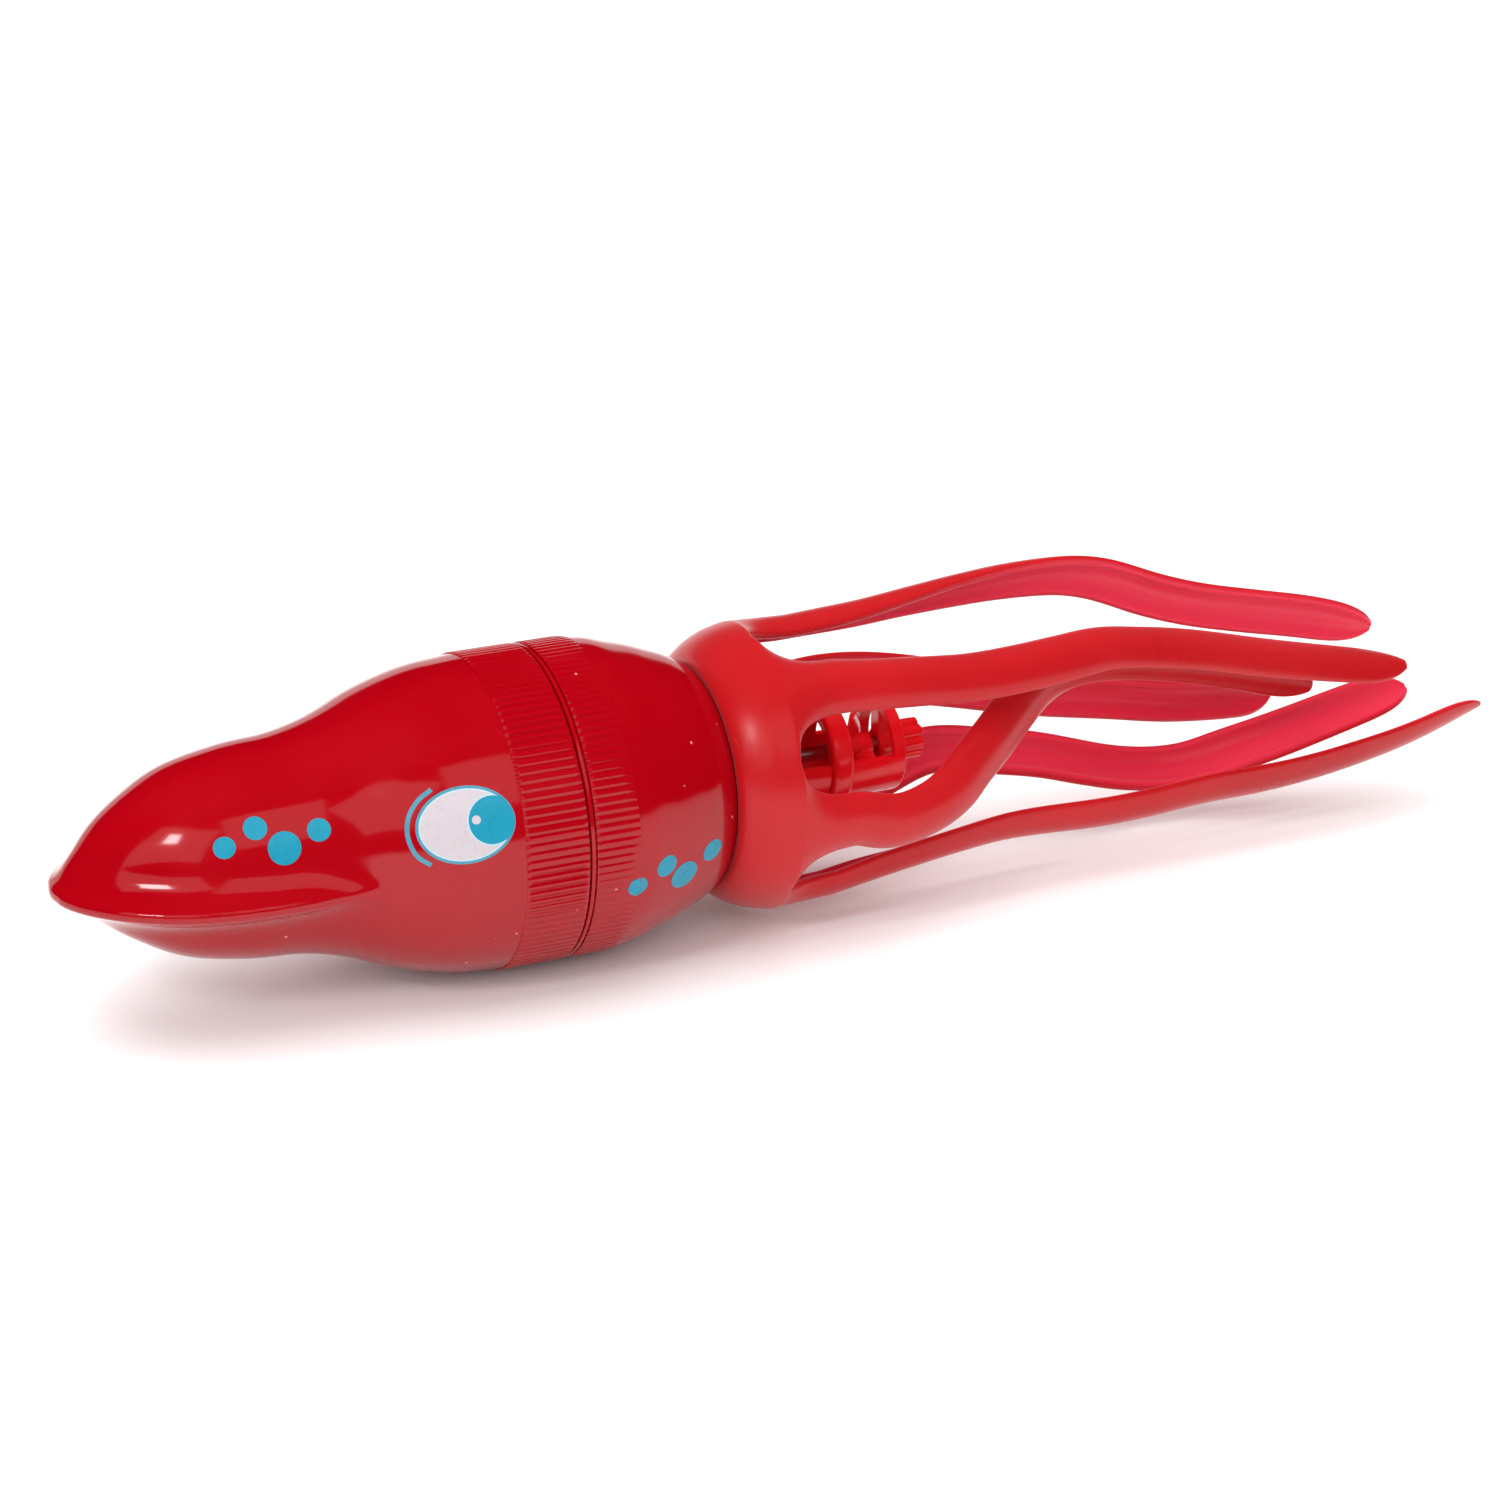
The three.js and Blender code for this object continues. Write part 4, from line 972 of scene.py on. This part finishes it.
def bar(name, low, high):
    """A square-edged bar between two corners in millimetres."""
    low, high = spot(*low), spot(*high)
    bpy.ops.object.select_all(action="DESELECT")
    bpy.ops.mesh.primitive_cube_add(size=1, location=(low + high) / 2)
    obj = bpy.context.object
    obj.name = name
    obj.scale = high - low
    return settled(obj)


def ring_of(name, x0, x1, inner, outer, ease=0.0, steps=96):
    """A turned ring with eased outer edges."""
    turn = [(ease * (1 - math.cos(t)), outer - ease * (1 - math.sin(t))) for t in (0.52, 1.05)]
    line = [(x0, inner), (x0, outer - ease)]
    line += [(x0 + x, r) for x, r in turn]
    line += [(x0 + ease, outer), (x1 - ease, outer)]
    line += [(x1 - x, r) for x, r in reversed(turn)]
    line += [(x1, outer - ease), (x1, inner), (x0, inner)]
    return turned(name, line, steps)


def eased(obj, width, segments=2, degrees=50):
    """Rounds a piece's sharp edges."""
    finished(
        obj, "BEVEL", width=width * MM, segments=segments, limit_method="ANGLE",
        angle_limit=math.radians(degrees), use_clamp_overlap=True,
    )
    return smooth(obj, 40)


tube = ring_of("propeller_tube_moulding", *TUBE_FLANGE, TUBE_BORE, TUBE_FLANGE_R, 0.3)
combined(tube, ring_of("barrel", BARREL_X, TUBE_END, TUBE_BORE, TUBE_R, 0.35), "UNION")
hoop_end = HOOP_X + HOOP_LENGTH
for name, start, end in (("gap_1", OPENING_X, HOOP_X), ("gap_2", hoop_end, SPOKE_X)):
    combined(tube, bar(name, (start, -20, LEDGE), (end, 20, 20)), "DIFFERENCE")
combined(tube, ring_of("hoop", HOOP_X, hoop_end, TUBE_BORE, HOOP_R, 1.0), "UNION")
wide, tall = SPOKE
combined(tube, bar("spoke", (SPOKE_X, -wide, -tall), (TUBE_END, wide, tall)), "UNION")
bearing = ring_of("bearing", SPOKE_X, TUBE_END + 0.6, SHAFT_HOLE_R, BEARING_R, 0.3, 48)
combined(tube, bearing, "UNION")
shaft_hole = ring_of("shaft_hole", HOOP_X, TUBE_END + 5, 0, SHAFT_HOLE_R, 0, 32)
combined(tube, shaft_hole, "DIFFERENCE")
for k in range(3):
    way = across(120 + 120 * k) * TUBE_SCREW_R
    bpy.ops.object.select_all(action="DESELECT")
    bpy.ops.mesh.primitive_cylinder_add(
        vertices=24, radius=TUBE_SCREW_HOLE * MM, depth=6 * MM, location=spot(44.5, way.y, way.z),
        rotation=(0, math.pi / 2, 0),
    )
    combined(tube, settled(bpy.context.object), "DIFFERENCE")
eased(tube, 0.28)
# Painted light: this is the same red plastic as the shells, with a rougher gloss of its own. Its
# base colour is lifted to about twice theirs, to stand in for light on the tube, knob and propeller
# where they sit in the skirt's shade.
brightened_tube_red = grained(
    "tube_red_plastic", (0.74, 0.006, 0.012), (0.68, 0.005, 0.010), 60, 0.05, (0.14, 0.26),
    Specular_IOR_Level=0.4, Subsurface_Weight=0.3, Subsurface_Radius=(1.0, 0.08, 0.08),
    Subsurface_Scale=0.003,
)
painted(tube, brightened_tube_red)
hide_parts("propeller_tube")
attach(tube, "rear_body")

# ---- Propeller knob ----
# A scalloped red knob, pushed on to the end of the shaft so that the propeller can be turned by
# hand. It has eight rounded lobes and a shallow dish in its end.
KNOB_X, KNOB_LENGTH, KNOB_R = 77.35, 5.5, 4.2
KNOB_LOBES, LOBE_DEPTH = 8, 0.17
DISH_RIM, DISH_DEPTH = 0.9, 0.5
bpy.ops.object.select_all(action="DESELECT")
bpy.ops.mesh.primitive_circle_add(
    vertices=96, radius=KNOB_R * MM, fill_type="NGON", location=spot(KNOB_X),
    rotation=(0, math.pi / 2, 0),
)
knob = settled(bpy.context.object)
knob.name = "scalloped_knob"
middle = spot(KNOB_X)
for v in knob.data.vertices:
    arm = v.co - middle
    lobe = abs(math.cos(KNOB_LOBES / 2 * math.atan2(arm.z, arm.y)))
    v.co = middle + arm * (1 - LOBE_DEPTH * (1 - lobe**0.7))
editing(knob)
bpy.ops.mesh.extrude_region_move(TRANSFORM_OT_translate={"value": (KNOB_LENGTH * MM, 0, 0)})
bpy.ops.mesh.inset(thickness=DISH_RIM * MM)
bpy.ops.mesh.extrude_region_move(TRANSFORM_OT_translate={"value": (-DISH_DEPTH * MM, 0, 0)})
bpy.ops.mesh.select_all(action="SELECT")
bpy.ops.mesh.normals_make_consistent(inside=False)
done()
eased(knob, 0.5, 3, 70)
smooth(knob, 60)
painted(knob, brightened_tube_red)
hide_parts("propeller_knob")
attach(knob, "propeller_shaft")


def reworked(node, finish, width, degrees=30):
    """A finer copy of a CAD piece: corners welded, flats cleared and edges rounded."""
    source = frame["nodes"][node]
    obj = bpy.data.objects.new(f"{node}_moulding", source.data.copy())
    scene.collection.objects.link(obj)
    editing(obj)
    bpy.ops.mesh.remove_doubles(threshold=1e-6)
    bpy.ops.mesh.dissolve_limited(angle_limit=math.radians(3))
    done()
    if width:
        finished(
            obj, "BEVEL", width=width * MM, segments=2, limit_method="ANGLE",
            angle_limit=math.radians(degrees), use_clamp_overlap=True,
        )
    smooth(obj, 40)
    painted(obj, finish)
    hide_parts(node)
    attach(obj, source["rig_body"])
    return obj


# ---- Propeller ----
# Three pitched blades on a hub, moulded in the same red, pressed on the drive shaft in the tube.
reworked("propeller", brightened_tube_red, 0.15, 50)

# ---- Metal and the parts inside the shells ----
# Shafts, screws, springs and contacts in plated steel, two jacketed cells in a grey carrier, the
# can motor in its red cup, and the black sealing ring in the mouth of the head.
FINISHES = {
    "steel": grained(
        "plated_steel", (0.62, 0.63, 0.65), (0.45, 0.46, 0.48), 120, 0.08, (0.22, 0.38),
        Metallic=1.0,
    ),
    "inner_red": grained(
        "inner_red_plastic", (0.45, 0.004, 0.012), (0.38, 0.003, 0.009), 60, 0.08, (0.3, 0.45)
    ),
    "seal_black": grained(
        "seal_rubber", (0.018, 0.018, 0.018), (0.010, 0.010, 0.010), 90, 0.2, (0.55, 0.75)
    ),
    "carrier_grey": grained(
        "carrier_plastic", (0.09, 0.095, 0.10), (0.07, 0.073, 0.08), 70, 0.1, (0.4, 0.55)
    ),
    "cell_jacket": grained(
        "cell_jacket", (0.03, 0.05, 0.08), (0.022, 0.037, 0.06), 60, 0.04, (0.2, 0.32)
    ),
    "winding": grained(
        "brass_winding", (0.55, 0.34, 0.10), (0.42, 0.24, 0.07), 200, 0.3, (0.3, 0.45),
        Metallic=0.9,
    ),
    "white_plastic": grained(
        "white_plastic", (0.75, 0.74, 0.70), (0.68, 0.67, 0.63), 80, 0.08, (0.35, 0.5)
    ),
    "glossy_red": glossy_red,
    "rubber_red": rubber_red,
}
ROUNDED = {
    "shaft_gland": 0.2, "drive_shaft": 0.15, "cap_gasket": 0.25, "bulkhead": 0.3,
    "tube_screw_1": 0.12, "tube_screw_2": 0.12, "tube_screw_3": 0.12, "battery_carrier": 0.25,
}
slots = {part["node"]: part["material_slot"] for part in frame["record"]["subparts"]}
for node, obj in frame["nodes"].items():
    if obj.hide_render:
        continue
    finish = FINISHES[slots[node]]
    if node in ROUNDED:
        reworked(node, finish, ROUNDED[node])
    else:
        painted(obj, finish)
